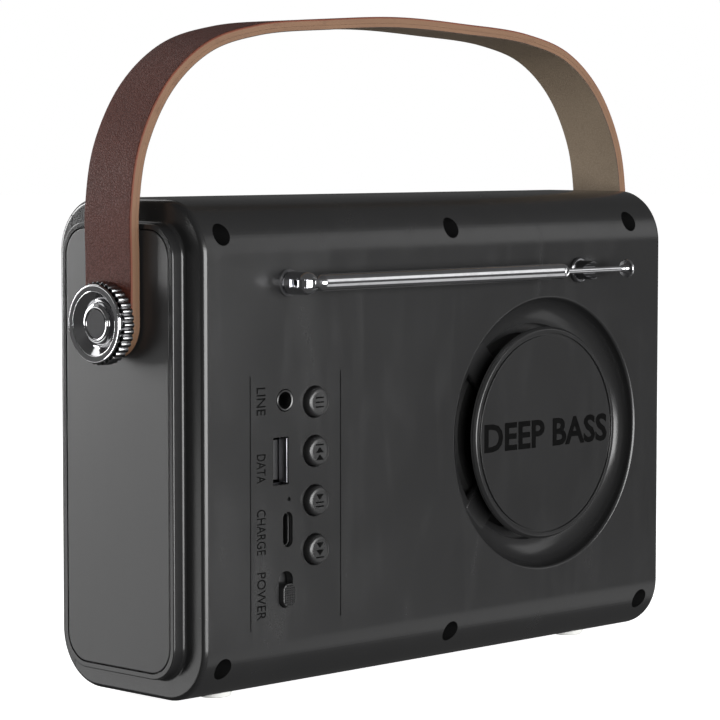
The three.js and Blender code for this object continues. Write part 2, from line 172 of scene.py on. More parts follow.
class Shader:
    """The node tree of one material, or of the world."""

    def __init__(self, owner: bpy.types.Material | bpy.types.World) -> None:
        """Empties the owner's tree.

        Args:
            owner: the material or the world.
        """
        self.owner = owner
        owner.use_nodes = True
        self.nodes = owner.node_tree.nodes
        self.links = owner.node_tree.links
        self.nodes.clear()

    def node(
        self, kind: str, settings: dict | None = None, inputs: dict | None = None,
        output: int | str = 0,
    ) -> Wire:
        """Adds any node.

        Args:
            kind: the node's type.
            settings: its own settings, such as an operation, set before its sockets.
            inputs: values or wires for its input sockets, by name or number.
            output: which output to hand back.

        Returns:
            The chosen output, empty for a node that has none.
        """
        made = self.nodes.new(kind)
        for key, value in (settings or {}).items():
            if key == "stops":
                self.fill_ramp(made.color_ramp, value)
            else:
                setattr(made, key, value)
        for key, value in (inputs or {}).items():
            self.feed(made.inputs[key], value)
        return Wire(self, made.outputs[output] if made.outputs else None)

    @staticmethod
    def fill_ramp(ramp: bpy.types.ColorRamp, stops: Profile) -> None:
        """Sets a ramp's stops from pairs of place and brightness.

        Args:
            ramp: the ramp.
            stops: the pairs.
        """
        while len(ramp.elements) < len(stops):
            ramp.elements.new(1.0)
        for element, (place, level) in zip(ramp.elements, stops):
            element.position = place
            element.color = (level, level, level, 1.0)

    def feed(self, socket: bpy.types.NodeSocket, value: "Wire | float | Sequence[float]") -> None:
        """Links a wire to a socket, or sets its value.

        Args:
            socket: the input socket.
            value: the wire or the value.
        """
        if isinstance(value, Wire):
            self.links.new(value.socket, socket)
        else:
            socket.default_value = value

    def place(self, stretch: Point = (1.0, 1.0, 1.0), uv: bool = False) -> Wire:
        """Where on the piece a point is.

        Args:
            stretch: how much the pattern is squeezed along each direction.
            uv: whether to read the piece's own UV map in place of Object coordinates.

        Returns:
            The stretched coordinates.
        """
        source = self.node("ShaderNodeTexCoord", output="UV" if uv else "Object")
        return self.node("ShaderNodeMapping", inputs={"Vector": source, "Scale": stretch})

    def noise(self, where: Wire, scale: float, detail: float = 2.0, distortion: float = 0.0) -> Wire:
        """Soft cloud noise between 0 and 1.

        Args:
            where: the coordinates.
            scale: how fine the clouds are.
            detail: how many finer layers there are.
            distortion: how far the clouds are stirred.

        Returns:
            The noise.
        """
        return self.node("ShaderNodeTexNoise", inputs={
            "Vector": where, "Scale": scale, "Detail": detail, "Distortion": distortion,
        })

    def cells(self, where: Wire, scale: float, feature: str = "F1") -> Wire:
        """Distance to the nearest cell of a Voronoi pattern.

        Args:
            where: the coordinates.
            scale: how fine the cells are.
            feature: what is measured.

        Returns:
            The distance.
        """
        return self.node(
            "ShaderNodeTexVoronoi", {"feature": feature}, {"Vector": where, "Scale": scale},
        )

    def ramp(self, value: Wire, stops: Profile) -> Wire:
        """Reshapes a value by a ramp of place and brightness pairs."""
        return self.node("ShaderNodeValToRGB", {"stops": stops}, {0: value})

    def mix(self, factor: Wire | float, first: Point | Wire, second: Point | Wire) -> Wire:
        """Blends two colours.

        Args:
            factor: 0 for the first colour, 1 for the second.
            first: the first colour.
            second: the second colour.

        Returns:
            The blend.
        """
        return self.node(
            "ShaderNodeMix", {"data_type": "RGBA"},
            {0: factor, 6: self._colour(first), 7: self._colour(second)}, 2,
        )

    @staticmethod
    def _colour(value: Point | Wire) -> "Wire | Sequence[float]":
        """Gives a plain colour its fourth value."""
        return value if isinstance(value, Wire) else (*value[:3], 1.0)

    def bump(self, height: Wire, depth_mm: float, strength: float = 1.0) -> Wire:
        """A normal bent by a height between 0 and 1 that is depth_mm deep.

        Args:
            height: the height.
            depth_mm: the depth of a height of 1, in millimetres.
            strength: how much of it shows.

        Returns:
            The normal.
        """
        return self.node("ShaderNodeBump", inputs={
            "Height": height, "Distance": depth_mm * MM, "Strength": strength,
        }, output="Normal")

    def dress(self, **sockets: "Wire | float | Point") -> bpy.types.Material:
        """Feeds the Principled shader, whose socket names are given with _ for each space.

        Args:
            sockets: values or wires for the sockets.

        Returns:
            The owner of the tree.
        """
        inputs = {
            name.replace("_", " "): self._colour(value) if name.endswith("Color") else value
            for name, value in sockets.items()
        }
        surface = self.node("ShaderNodeBsdfPrincipled", inputs=inputs)
        self.node("ShaderNodeOutputMaterial", inputs={0: surface})
        return self.owner


# Finishes


class Finish:
    """A finish that makes its material once and then hands the same one out."""

    _made: dict = {}

    def paint(self, shader: Shader) -> bpy.types.Material:
        """Builds the material's nodes.

        Args:
            shader: the material's tree.

        Returns:
            The material.
        """
        raise NotImplementedError

    @property
    def material(self) -> bpy.types.Material:
        """The finish's material, made on first use.

        Returns:
            The material.
        """
        if self not in Finish._made:
            Finish._made[self] = self.paint(Shader(bpy.data.materials.new(self.name)))
        return Finish._made[self]


@dataclass(frozen=True)
class TwoTone(Finish):
    """A finish whose colour wanders between a dark and a light tone."""

    name: str
    dark: Triple
    light: Triple


@dataclass(frozen=True)
class MouldedPlastic(TwoTone):
    """Injection-moulded plastic with a fine spark texture and faint handling marks."""

    roughness: float = 0.4
    texture_mm: float = 0.012
    texture_scale: float = 2600.0
    cloud_scale: float = 22.0
    smear_scale: float = 95.0

    def paint(self, shader: Shader) -> bpy.types.Material:
        """Mottled colour, uneven gloss and a fine sparked surface.

        Args:
            shader: the material's tree.

        Returns:
            The material.
        """
        where = shader.place()
        grain = shader.noise(where, self.texture_scale, 3.0)
        cloud = shader.noise(where, self.cloud_scale, 4.0, 0.6)
        smear = shader.noise(shader.place((1.0, 1.0, 0.22)), self.smear_scale, 5.0, 0.9)
        rubbed = shader.ramp(smear, [(0.5, 0.0), (0.72, 1.0)])
        return shader.dress(
            Base_Color=shader.mix(cloud * 0.7 + grain * 0.3, self.dark, self.light),
            Roughness=self.roughness - 0.05 + 0.08 * cloud + 0.05 * rubbed + 0.04 * grain,
            Normal=shader.bump(grain, self.texture_mm),
        )


@dataclass(frozen=True)
class Plated(Finish):
    """Bright plated metal with light smudges and very fine polishing lines."""

    name: str
    tint: Triple
    roughness: float = 0.06
    lines: Triple = (1.0, 1.0, 1.0)
    haze_scale: float = 160.0
    polish_scale: float = 900.0
    haze_shade: float = 0.86

    def paint(self, shader: Shader) -> bpy.types.Material:
        """A mirror with a little haze where it is handled.

        Args:
            shader: the material's tree.

        Returns:
            The material.
        """
        haze = shader.noise(shader.place(), self.haze_scale, 5.0, 0.8)
        polish = shader.noise(shader.place(self.lines), self.polish_scale, 2.0)
        worn = shader.ramp(haze, [(0.45, 0.0), (0.75, 1.0)])
        shade = tuple(channel * self.haze_shade for channel in self.tint)
        return shader.dress(
            Base_Color=shader.mix(worn, self.tint, shade),
            Metallic=1.0,
            Roughness=self.roughness + 0.07 * worn + 0.03 * polish,
            Normal=shader.bump(polish, 0.002, 0.4),
        )


@dataclass(frozen=True)
class GrainedHide(TwoTone):
    """Leather with pebbled grain, fine creases and pores, laid out by the strap's UV map; the creases
    and pores are coloured darker, partly as the grain's own tone and partly as painted shade.
    """

    pebble_scale: float = 1300.0
    depth_mm: float = 0.09
    roughness: float = 0.5
    shine: float = 0.16
    warp_scale: float = 320.0
    warp_reach: float = 0.0016
    pore_scale: float = 2600.0
    tone_scale: float = 60.0

    def paint(self, shader: Shader) -> bpy.types.Material:
        """Pebbles from warped cells, creases between them coloured darker as grain tone and painted
        shade, and slow changes of tone.

        Args:
            shader: the material's tree.

        Returns:
            The material.
        """
        where = shader.place(uv=True)
        warp = shader.noise(where, self.warp_scale, 3.0, 1.2)
        warped = shader.node("ShaderNodeVectorMath", {"operation": "MULTIPLY_ADD"}, {
            0: shader.node("ShaderNodeCombineXYZ", inputs={0: warp, 1: warp}),
            1: (self.warp_reach, self.warp_reach, 0.0), 2: where,
        })
        pebble = shader.cells(warped, self.pebble_scale, "DISTANCE_TO_EDGE")
        dome = shader.ramp(pebble, [(0.0, 0.0), (0.16, 0.75), (0.45, 1.0)])
        fine = shader.noise(warped, self.pore_scale, 3.0)
        tone = shader.noise(where, self.tone_scale, 4.0, 0.5)
        height = dome * 0.75 + fine * 0.25
        return shader.dress(
            # The base colour follows the bump and is darker in the creases and pores: partly the
            # grain's own tone, partly painted shade.
            Base_Color=shader.mix(
                dome * 0.45 + tone * 0.4 + fine * 0.15, self.dark, self.light,
            ),
            Roughness=self.roughness + 0.14 * (1 - dome) + 0.06 * tone,
            Normal=shader.bump(height, self.depth_mm, 0.8),
            Specular_IOR_Level=self.shine,
        )


@dataclass(frozen=True)
class CutLeather(TwoTone):
    """The bare cut edge of the strap: pale fibres running along it."""

    streak: Triple = (60.0, 1400.0, 1.0)
    fuzz_scale: float = 2400.0
    nick_scale: float = 210.0

    def paint(self, shader: Shader) -> bpy.types.Material:
        """Streaks along the strap, with loose fibres and small dark nicks.

        Args:
            shader: the material's tree.

        Returns:
            The material.
        """
        where = shader.place(uv=True)
        streaks = shader.noise(shader.place(self.streak, uv=True), 1.0, 5.0, 0.4)
        fuzz = shader.noise(where, self.fuzz_scale, 4.0)
        nick = shader.ramp(shader.noise(where, self.nick_scale, 3.0), [(0.3, 1.0), (0.42, 0.0)])
        return shader.dress(
            Base_Color=shader.mix(streaks * 0.7 + fuzz * 0.3 - nick * 0.3, self.dark, self.light),
            Roughness=0.62 + 0.2 * fuzz,
            Normal=shader.bump(fuzz * 0.5 + streaks * 0.5, 0.06, 0.7),
        )


@dataclass(frozen=True)
class SoftRubber(TwoTone):
    """Slightly cloudy rubber."""

    roughness: float = 0.55
    dust_scale: float = 420.0
    grain_scale: float = 3200.0

    def paint(self, shader: Shader) -> bpy.types.Material:
        """Dusty rubber with a soft sheen of scuffs.

        Args:
            shader: the material's tree.

        Returns:
            The material.
        """
        where = shader.place()
        dust = shader.noise(where, self.dust_scale, 5.0, 0.5)
        grain = shader.noise(where, self.grain_scale, 2.0)
        return shader.dress(
            Base_Color=shader.mix(dust, self.dark, self.light),
            Roughness=self.roughness + 0.15 * dust,
            Normal=shader.bump(grain * 0.6 + dust * 0.4, 0.02),
        )


@dataclass(frozen=True)
class Ink(Finish):
    """Printed or engraved marking."""

    name: str
    tone: Triple
    faded: Triple
    glow: float = 0.0
    shine: float = 0.12
    wear_scale: float = 900.0

    def paint(self, shader: Shader) -> bpy.types.Material:
        """Ink that thins slightly where it is rubbed.

        Args:
            shader: the material's tree.

        Returns:
            The material.
        """
        wear = shader.noise(shader.place(), self.wear_scale, 4.0)
        colour = shader.mix(shader.ramp(wear, [(0.42, 0.0), (0.7, 1.0)]), self.tone, self.faded)
        return shader.dress(
            Base_Color=colour, Roughness=0.6 + 0.2 * wear, Specular_IOR_Level=self.shine,
            Emission_Color=colour, Emission_Strength=self.glow,
        )


@dataclass(frozen=True)
class ClearWindow(Finish):
    """A dark display window with a hard gloss."""

    name: str
    tone: Triple = (0.006, 0.007, 0.009)
    print_scale: float = 240.0
    lift: float = 1.8

    def paint(self, shader: Shader) -> bpy.types.Material:
        """Near black with fingerprints in the gloss.

        Args:
            shader: the material's tree.

        Returns:
            The material.
        """
        prints = shader.noise(shader.place(), self.print_scale, 6.0, 1.4)
        lifted = tuple(channel * self.lift for channel in self.tone)
        return shader.dress(
            Base_Color=shader.mix(prints, self.tone, lifted),
            Roughness=0.05 + 0.12 * shader.ramp(prints, [(0.5, 0.0), (0.8, 1.0)]),
            Coat_Weight=0.6,
        )


@dataclass(frozen=True)
class CircuitBoard(Finish):
    """Green board with copper tracks under the solder resist."""

    name: str
    resist: Triple = (0.012, 0.09, 0.035)
    track: Triple = (0.03, 0.2, 0.08)
    solder: Triple = (0.05, 0.26, 0.1)
    track_scale: float = 260.0
    speck_scale: float = 700.0

    def paint(self, shader: Shader) -> bpy.types.Material:
        """Tracks from a brick pattern over a green base.

        Args:
            shader: the material's tree.

        Returns:
            The material.
        """
        tracks = shader.node("ShaderNodeTexBrick", inputs={
            "Vector": shader.place(), "Scale": self.track_scale,
        }, output="Fac")
        speck = shader.noise(shader.place(), self.speck_scale, 3.0)
        return shader.dress(
            Base_Color=shader.mix(tracks, self.resist, shader.mix(speck, self.track, self.solder)),
            Roughness=0.35 + 0.2 * speck,
            Normal=shader.bump(tracks, 0.03),
        )


BLACK_CASE = MouldedPlastic("black_case", (0.0112, 0.0112, 0.0114), (0.0185, 0.0185, 0.0188), 0.22)
SIDE_SATIN = MouldedPlastic("side_satin", (0.016, 0.016, 0.0163), (0.025, 0.025, 0.0254), 0.36)
DEEP_BLACK = MouldedPlastic("deep_black", (0.006, 0.006, 0.0065), (0.012, 0.012, 0.0125), 0.5)
KEY_BLACK = MouldedPlastic("key_black", (0.012, 0.012, 0.0122), (0.021, 0.021, 0.0214), 0.28)
CHROME = Plated("chrome", (0.74, 0.74, 0.76))
KNOB_CHROME = Plated("knob_chrome", (0.5, 0.5, 0.51), 0.06, (1.0, 6.0, 6.0))
# A darker copy of the knob chrome for the ribbed grip, so that the ribs reflect grey: painted shade.
GRIP_PAINTED_SHADE_CHROME = Plated("grip_painted_shade_chrome", (0.3, 0.3, 0.305), 0.2, (1.0, 6.0, 6.0))
TUBE_CHROME = Plated("tube_chrome", (0.7, 0.7, 0.72), 0.09, (0.15, 8.0, 8.0))
BLACK_STEEL = Plated("black_steel", (0.24, 0.24, 0.25), 0.14)
SCREW_STEEL = Plated("screw_steel", (0.06, 0.06, 0.065), 0.28)
ZINC = Plated("zinc", (0.5, 0.5, 0.53), 0.3)
GRILLE_PAINT = Plated("grille_paint", (0.03, 0.03, 0.033), 0.42)
BADGE = Plated("badge", (0.03, 0.03, 0.031), 0.3)
NICKEL = Plated("nickel", (0.085, 0.085, 0.085), 0.33)
# Steel darkened far below plain steel for parts that sit deep in sockets and openings: painted shade.
PAINTED_SHADE_STEEL = Plated("painted_shade_steel", (0.045, 0.045, 0.048), 0.35)
STRAP_HIDE = GrainedHide("strap_hide", (0.038, 0.0088, 0.0058), (0.125, 0.034, 0.022))
LINING_HIDE = GrainedHide(
    "lining_hide", (0.165, 0.124, 0.086), (0.27, 0.214, 0.154), 1500.0, 0.06, 0.62,
)
BURNISHED = CutLeather("burnished_edge", (0.07, 0.016, 0.008), (0.19, 0.05, 0.022))
# Colours the lining's rounded inner shoulders dark, a thin dark line along the strap.
DARK_EDGE = CutLeather("dark_edge", (0.02, 0.012, 0.009), (0.05, 0.03, 0.022))
TAN_EDGE = CutLeather("tan_edge", (0.105, 0.051, 0.026), (0.19, 0.102, 0.054))
FOOT_RUBBER = SoftRubber("foot_rubber", (0.5, 0.5, 0.48), (0.7, 0.7, 0.68), 0.4)
ROLL_RUBBER = SoftRubber("roll_rubber", (0.007, 0.007, 0.007), (0.016, 0.016, 0.016))
DARK_INK = Ink("dark_ink", (0.0012, 0.0012, 0.0012), (0.003, 0.003, 0.003), 0.0, 0.04)
LIT_INK = Ink("lit_ink", (0.75, 0.36, 0.1), (0.6, 0.27, 0.07), 0.6)
WINDOW = ClearWindow("display_glass")
BOARD = CircuitBoard("board")
WRAP = MouldedPlastic("cell_wrap", (0.02, 0.06, 0.14), (0.03, 0.09, 0.2), 0.25)
GUIDE = SoftRubber("light_guide", (0.3, 0.33, 0.36), (0.45, 0.48, 0.5), 0.2)


# Shapes, in millimetres in the case frame


def edges_in_plane(mesh: Mesh, axis: Axis, *levels: float) -> list:
    """Edges that lie in planes square to an axis.

    Args:
        mesh: the mesh to look through.
        axis: the axis.
        levels: where the planes cross it.

    Returns:
        The edges in those planes.
    """
    return [edge for edge in mesh.edges if any(
        all(abs(vert.co[axis.value] - level) < NEAR for vert in edge.verts) for level in levels
    )]


def bevel(mesh: Mesh, edges: Iterable, width: float, segments: int = 3) -> None:
    """Rounds edges over.

    Args:
        mesh: the mesh.
        edges: the edges.
        width: how far from each edge the rounding starts.
        segments: steps in the rounding.
    """
    bmesh.ops.bevel(
        mesh, geom=list(edges), offset=width, offset_type="OFFSET", affect="EDGES",
        segments=segments, profile=0.5, material=-1, clamp_overlap=True,
    )


def prism(
    low: Point, high: Point, axis: Axis, corner: float, edge: float = 0.0, segments: int = 8,
    ends: Sequence[int] = (0, 1), edge_segments: int = 3,
) -> Mesh:
    """A block with round corners along one axis and softened end edges.

    Args:
        low: lowest corner.
        high: highest corner.
        axis: the direction that the round corners run along.
        corner: radius of the four corners.
        edge: radius of the end edges, or 0.
        segments: steps in each corner.
        ends: which ends are softened, 0 for the low one and 1 for the high one.
        edge_segments: steps in each end edge.

    Returns:
        The closed mesh.
    """
    mesh = bmesh.new()
    bmesh.ops.create_cube(mesh, size=1.0)
    size = Vector(high) - Vector(low)
    bmesh.ops.scale(mesh, vec=size, verts=mesh.verts)
    bmesh.ops.translate(mesh, vec=(Vector(low) + Vector(high)) / 2, verts=mesh.verts)
    if corner:
        along = [
            line for line in mesh.edges
            if abs(line.verts[0].co[axis.value] - line.verts[1].co[axis.value]) > size[axis.value] / 2
        ]
        bevel(mesh, along, corner, segments)
        bmesh.ops.remove_doubles(mesh, verts=mesh.verts, dist=NEARER)
    if edge:
        levels = [(low, high)[end][axis.value] for end in ends]
        bevel(mesh, edges_in_plane(mesh, axis, *levels), edge, edge_segments)
    return mesh


def slab(
    x: float, z: float, half_x: float, half_z: float, start: float, end: float,
    corner: float = 0.0, segments: int = 8, edge: float = 0.0,
) -> Mesh:
    """A block round a line that runs out of the back, softened at its outer end.

    Args:
        x: where the line is.
        z: where the line is.
        half_x: half of the block's width.
        half_z: half of its height.
        start: where it starts in Y.
        end: where it ends.
        corner: radius of its four corners.
        segments: steps in each corner.
        edge: radius of the edges at its outer end.

    Returns:
        The closed mesh.
    """
    low, high = (x - half_x, start, z - half_z), (x + half_x, end, z + half_z)
    return prism(low, high, Axis.Y, corner, edge, segments, (1,))


def cylinder(radius: float, depth: float, segments: int, where: Matrix) -> Mesh:
    """A plain cylinder, or a prism where it has few sides.

    Args:
        radius: its radius.
        depth: its length.
        segments: how many sides it has.
        where: where its middle is and how it is turned from Z.

    Returns:
        The closed mesh.
    """
    mesh = bmesh.new()
    bmesh.ops.create_cone(
        mesh, cap_ends=True, segments=segments, radius1=radius, radius2=radius, depth=depth,
        matrix=where,
    )
    return mesh


def softened(profile: Profile, radius: float, steps: int = 3) -> list[Pair]:
    """Rounds the inner corners of an open profile.

    Args:
        profile: pairs of radius and distance along the axis.
        radius: how far back from each corner the rounding starts.
        steps: how many pieces each rounding has.

    Returns:
        The new profile.
    """
    points = [Vector(p) for p in profile]
    result = [points[0]]
    for before, corner, after in zip(points, points[1:], points[2:]):
        reach = min(radius, (corner - before).length * 0.45, (after - corner).length * 0.45)
        start = corner + (before - corner).normalized() * reach
        end = corner + (after - corner).normalized() * reach
        for step in range(steps + 1):
            t = step / steps
            result.append(start * (1 - t) ** 2 + corner * 2 * t * (1 - t) + end * t ** 2)
    result.append(points[-1])
    return [(p.x, p.y) for p in result]


def turned(
    profile: Profile, axis: Axis, centre: Point, steps: int = 64, soften: float = 0.0,
) -> Mesh:
    """A shape turned on a lathe.

    Args:
        profile: pairs of radius and distance along the axis. It starts and ends on the axis, or
            where it started.
        axis: the axis of the lathe, Axis.X or Axis.Y.
        centre: the two other coordinates of the axis: Y and Z for Axis.X, X and Z for Axis.Y.
        steps: pieces in the full turn.
        soften: radius for the profile's corners.

    Returns:
        The closed mesh.
    """
    mesh = bmesh.new()
    line = softened(profile, soften) if soften else profile
    if axis is Axis.X:
        spots = [(along, centre[0] + radius, centre[1]) for radius, along in line]
        middle, spin_axis = (0.0, centre[0], centre[1]), (1.0, 0.0, 0.0)
    else:
        spots = [(centre[0] + radius, along, centre[1]) for radius, along in line]
        middle, spin_axis = (centre[0], 0.0, centre[1]), (0.0, 1.0, 0.0)
    verts = [mesh.verts.new(spot) for spot in spots]
    edges = [mesh.edges.new(pair) for pair in zip(verts, verts[1:])]
    bmesh.ops.spin(
        mesh, geom=verts + edges, cent=middle, axis=spin_axis, angle=math.tau, steps=steps,
        use_merge=True, use_duplicate=False,
    )
    bmesh.ops.remove_doubles(mesh, verts=mesh.verts, dist=NEAR)
    bmesh.ops.recalc_face_normals(mesh, faces=mesh.faces)
    return mesh


def rod(
    radius: float, start: float, end: float, axis: Axis, centre: Point, steps: int = 48,
    soften: float = 0.0,
) -> Mesh:
    """A plain turned rod, with softened ends where asked.

    Args:
        radius: its radius.
        start: where it starts along the axis.
        end: where it ends.
        axis: the direction it runs in.
        centre: the two other coordinates of the axis, as for turned.
        steps: pieces in the full turn.
        soften: radius for its end edges.

    Returns:
        The closed mesh.
    """
    profile = [(0, start), (radius, start), (radius, end), (0, end)]
    return turned(profile, axis, centre, steps, soften)


def together(*meshes: Mesh) -> Mesh:
    """Puts several meshes into the first one.

    Args:
        meshes: the meshes, which are used up apart from the first.

    Returns:
        The first mesh, with the others in it.
    """
    first = meshes[0]
    for other in meshes[1:]:
        data = bpy.data.meshes.new("joining")
        other.to_mesh(data)
        first.from_mesh(data)
        other.free()
        bpy.data.meshes.remove(data)
    return first


def stood(name: str, data: bpy.types.ID) -> bpy.types.Object:
    """A new object in the scene that shows a mesh, text, light or camera.

    Args:
        name: its name.
        data: what it shows.

    Returns:
        The object.
    """
    made = bpy.data.objects.new(name, data)
    bpy.context.scene.collection.objects.link(made)
    return made


def as_made(item: bpy.types.Object) -> Mesh:
    """An object's mesh with its modifiers applied, or the mesh of a text.

    Args:
        item: the object.

    Returns:
        The mesh.
    """
    bpy.context.view_layer.update()
    shaped = item.evaluated_get(bpy.context.evaluated_depsgraph_get())
    result = bmesh.new()
    result.from_mesh(shaped.to_mesh())
    shaped.to_mesh_clear()
    return result


def boolean(target: Mesh, tool: Mesh, operation: str = "DIFFERENCE") -> Mesh:
    """Cuts a tool from a solid, joins it or keeps what they share.

    Args:
        target: the solid.
        tool: the other solid, or several that stay clear of each other.
        operation: DIFFERENCE, UNION or INTERSECT.

    Returns:
        The new solid.
    """
    objects = []
    for mesh in (target, tool):
        data = bpy.data.meshes.new("boolean")
        mesh.to_mesh(data)
        mesh.free()
        objects.append(stood("boolean", data))
    modifier = objects[0].modifiers.new("cut", "BOOLEAN")
    modifier.operation = operation
    modifier.solver = "EXACT"
    modifier.object = objects[1]
    result = as_made(objects[0])
    for item in objects:
        data = item.data
        bpy.data.objects.remove(item)
        bpy.data.meshes.remove(data)
    bmesh.ops.remove_doubles(result, verts=result.verts, dist=NEAR)
    bmesh.ops.dissolve_degenerate(result, edges=result.edges, dist=NEAR)
    return result


def smooth_by_angle(mesh: Mesh, degrees: float) -> None:
    """Shades faces smooth and keeps creases sharper than an angle.

    Args:
        mesh: the mesh.
        degrees: the angle.
    """
    limit = math.radians(degrees)
    for face in mesh.faces:
        face.smooth = True
    for edge in mesh.edges:
        edge.smooth = len(edge.link_faces) == 2 and edge.calc_face_angle(0.0) < limit


@dataclass
class Maker:
    """Turns meshes into named pieces that ride on the frame."""

    count: int = 0

    def piece(
        self, name: str, mesh: Mesh, finishes: "Finish | Sequence[Finish]", slot: str,
        replaces: Sequence[str] = (), body: str = "case", crease: float = 32.0,
        chamfer: float = 0.0, mirrored: bool = False, weighted: bool = True,
    ) -> bpy.types.Object:
        """Makes one piece.

        Args:
            name: its name.
            mesh: its shape in the case frame, which is used up.
            finishes: one finish, or one for each material number in the mesh.
            slot: the record's material slot; not used.
            replaces: CAD nodes it stands for.
            body: the CAD body it rides on.
            crease: angle above which an edge stays sharp, in degrees.
            chamfer: width of a live bevel on sharp edges, in millimetres.
            mirrored: whether it is the mirror image in X.
            weighted: whether large flat faces set the shading.

        Returns:
            The object.
        """
        if mirrored:
            bmesh.ops.scale(mesh, vec=(-1, 1, 1), verts=mesh.verts)
            bmesh.ops.reverse_faces(mesh, faces=mesh.faces)
        mesh.transform(TO_ROW)
        smooth_by_angle(mesh, crease)
        data = bpy.data.meshes.new(name)
        mesh.to_mesh(data)
        mesh.free()
        made = stood(name, data)
        for finish in [finishes] if isinstance(finishes, Finish) else finishes:
            data.materials.append(finish.material)
        if chamfer:
            softening = made.modifiers.new("softening", "BEVEL")
            softening.width = chamfer * MM
            softening.segments = 2
            softening.limit_method = "ANGLE"
            softening.angle_limit = math.radians(crease)
        if weighted:
            shading = made.modifiers.new("shading", "WEIGHTED_NORMAL")
            shading.keep_sharp = True
        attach(made, body)
        if replaces:
            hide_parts(*replaces)
        self.count += 1
        LOG.info("%s: %d faces on %s", name, len(data.polygons), body)
        return made

    def dress_node(self, node: str, finish: Finish) -> None:
        """Gives a CAD node that stays its own finish.

        Args:
            node: its name.
            finish: the finish.
        """
        materials = frame["nodes"][node].data.materials
        materials.clear()
        materials.append(finish.material)
        LOG.info("%s: CAD node kept", node)


def lettering(
    words: str, height: float, centre: Point, right: Point, up: Point, depth: float = 0.06,
    boldness: float = 0.0, width: float = 0.0,
) -> Mesh:
    """Raised or inlaid lettering.

    Args:
        words: what it says.
        height: height of a capital, in millimetres.
        centre: middle of the words, on the surface.
        right: the direction that the words read in.
        up: the direction that the letters stand in.
        depth: how thick the letters are.
        boldness: how much the strokes are fattened, as a share of the letter size.
        width: the length to fit the words to, or 0 to keep the letters' own.

    Returns:
        The letters as a mesh.
    """
    raw = 0.1
    curve = bpy.data.curves.new("letters", "FONT")
    curve.body = words
    curve.align_x = "CENTER"
    curve.size = 1.0
    curve.offset = boldness
    curve.extrude = raw / 2
    curve.resolution_u = 3
    holder = stood("letters", curve)
    mesh = as_made(holder)
    bpy.data.objects.remove(holder)
    bpy.data.curves.remove(curve)
    xs = [v.co.x for v in mesh.verts]
    ys = [v.co.y for v in mesh.verts]
    tall = max(ys) - min(ys)
    stretch = width / (max(xs) - min(xs)) if width else height / tall
    bmesh.ops.translate(
        mesh, vec=(-(max(xs) + min(xs)) / 2, -(max(ys) + min(ys)) / 2, 0), verts=mesh.verts,
    )
    bmesh.ops.scale(mesh, vec=(stretch, height / tall, depth / raw), verts=mesh.verts)
    across, above = Vector(right), Vector(up)
    turn = Matrix((across, above, across.cross(above))).transposed().to_4x4()
    mesh.transform(Matrix.Translation(Vector(centre)) @ turn)
    bmesh.ops.remove_doubles(mesh, verts=mesh.verts, dist=NEARER)
    return mesh


# The case


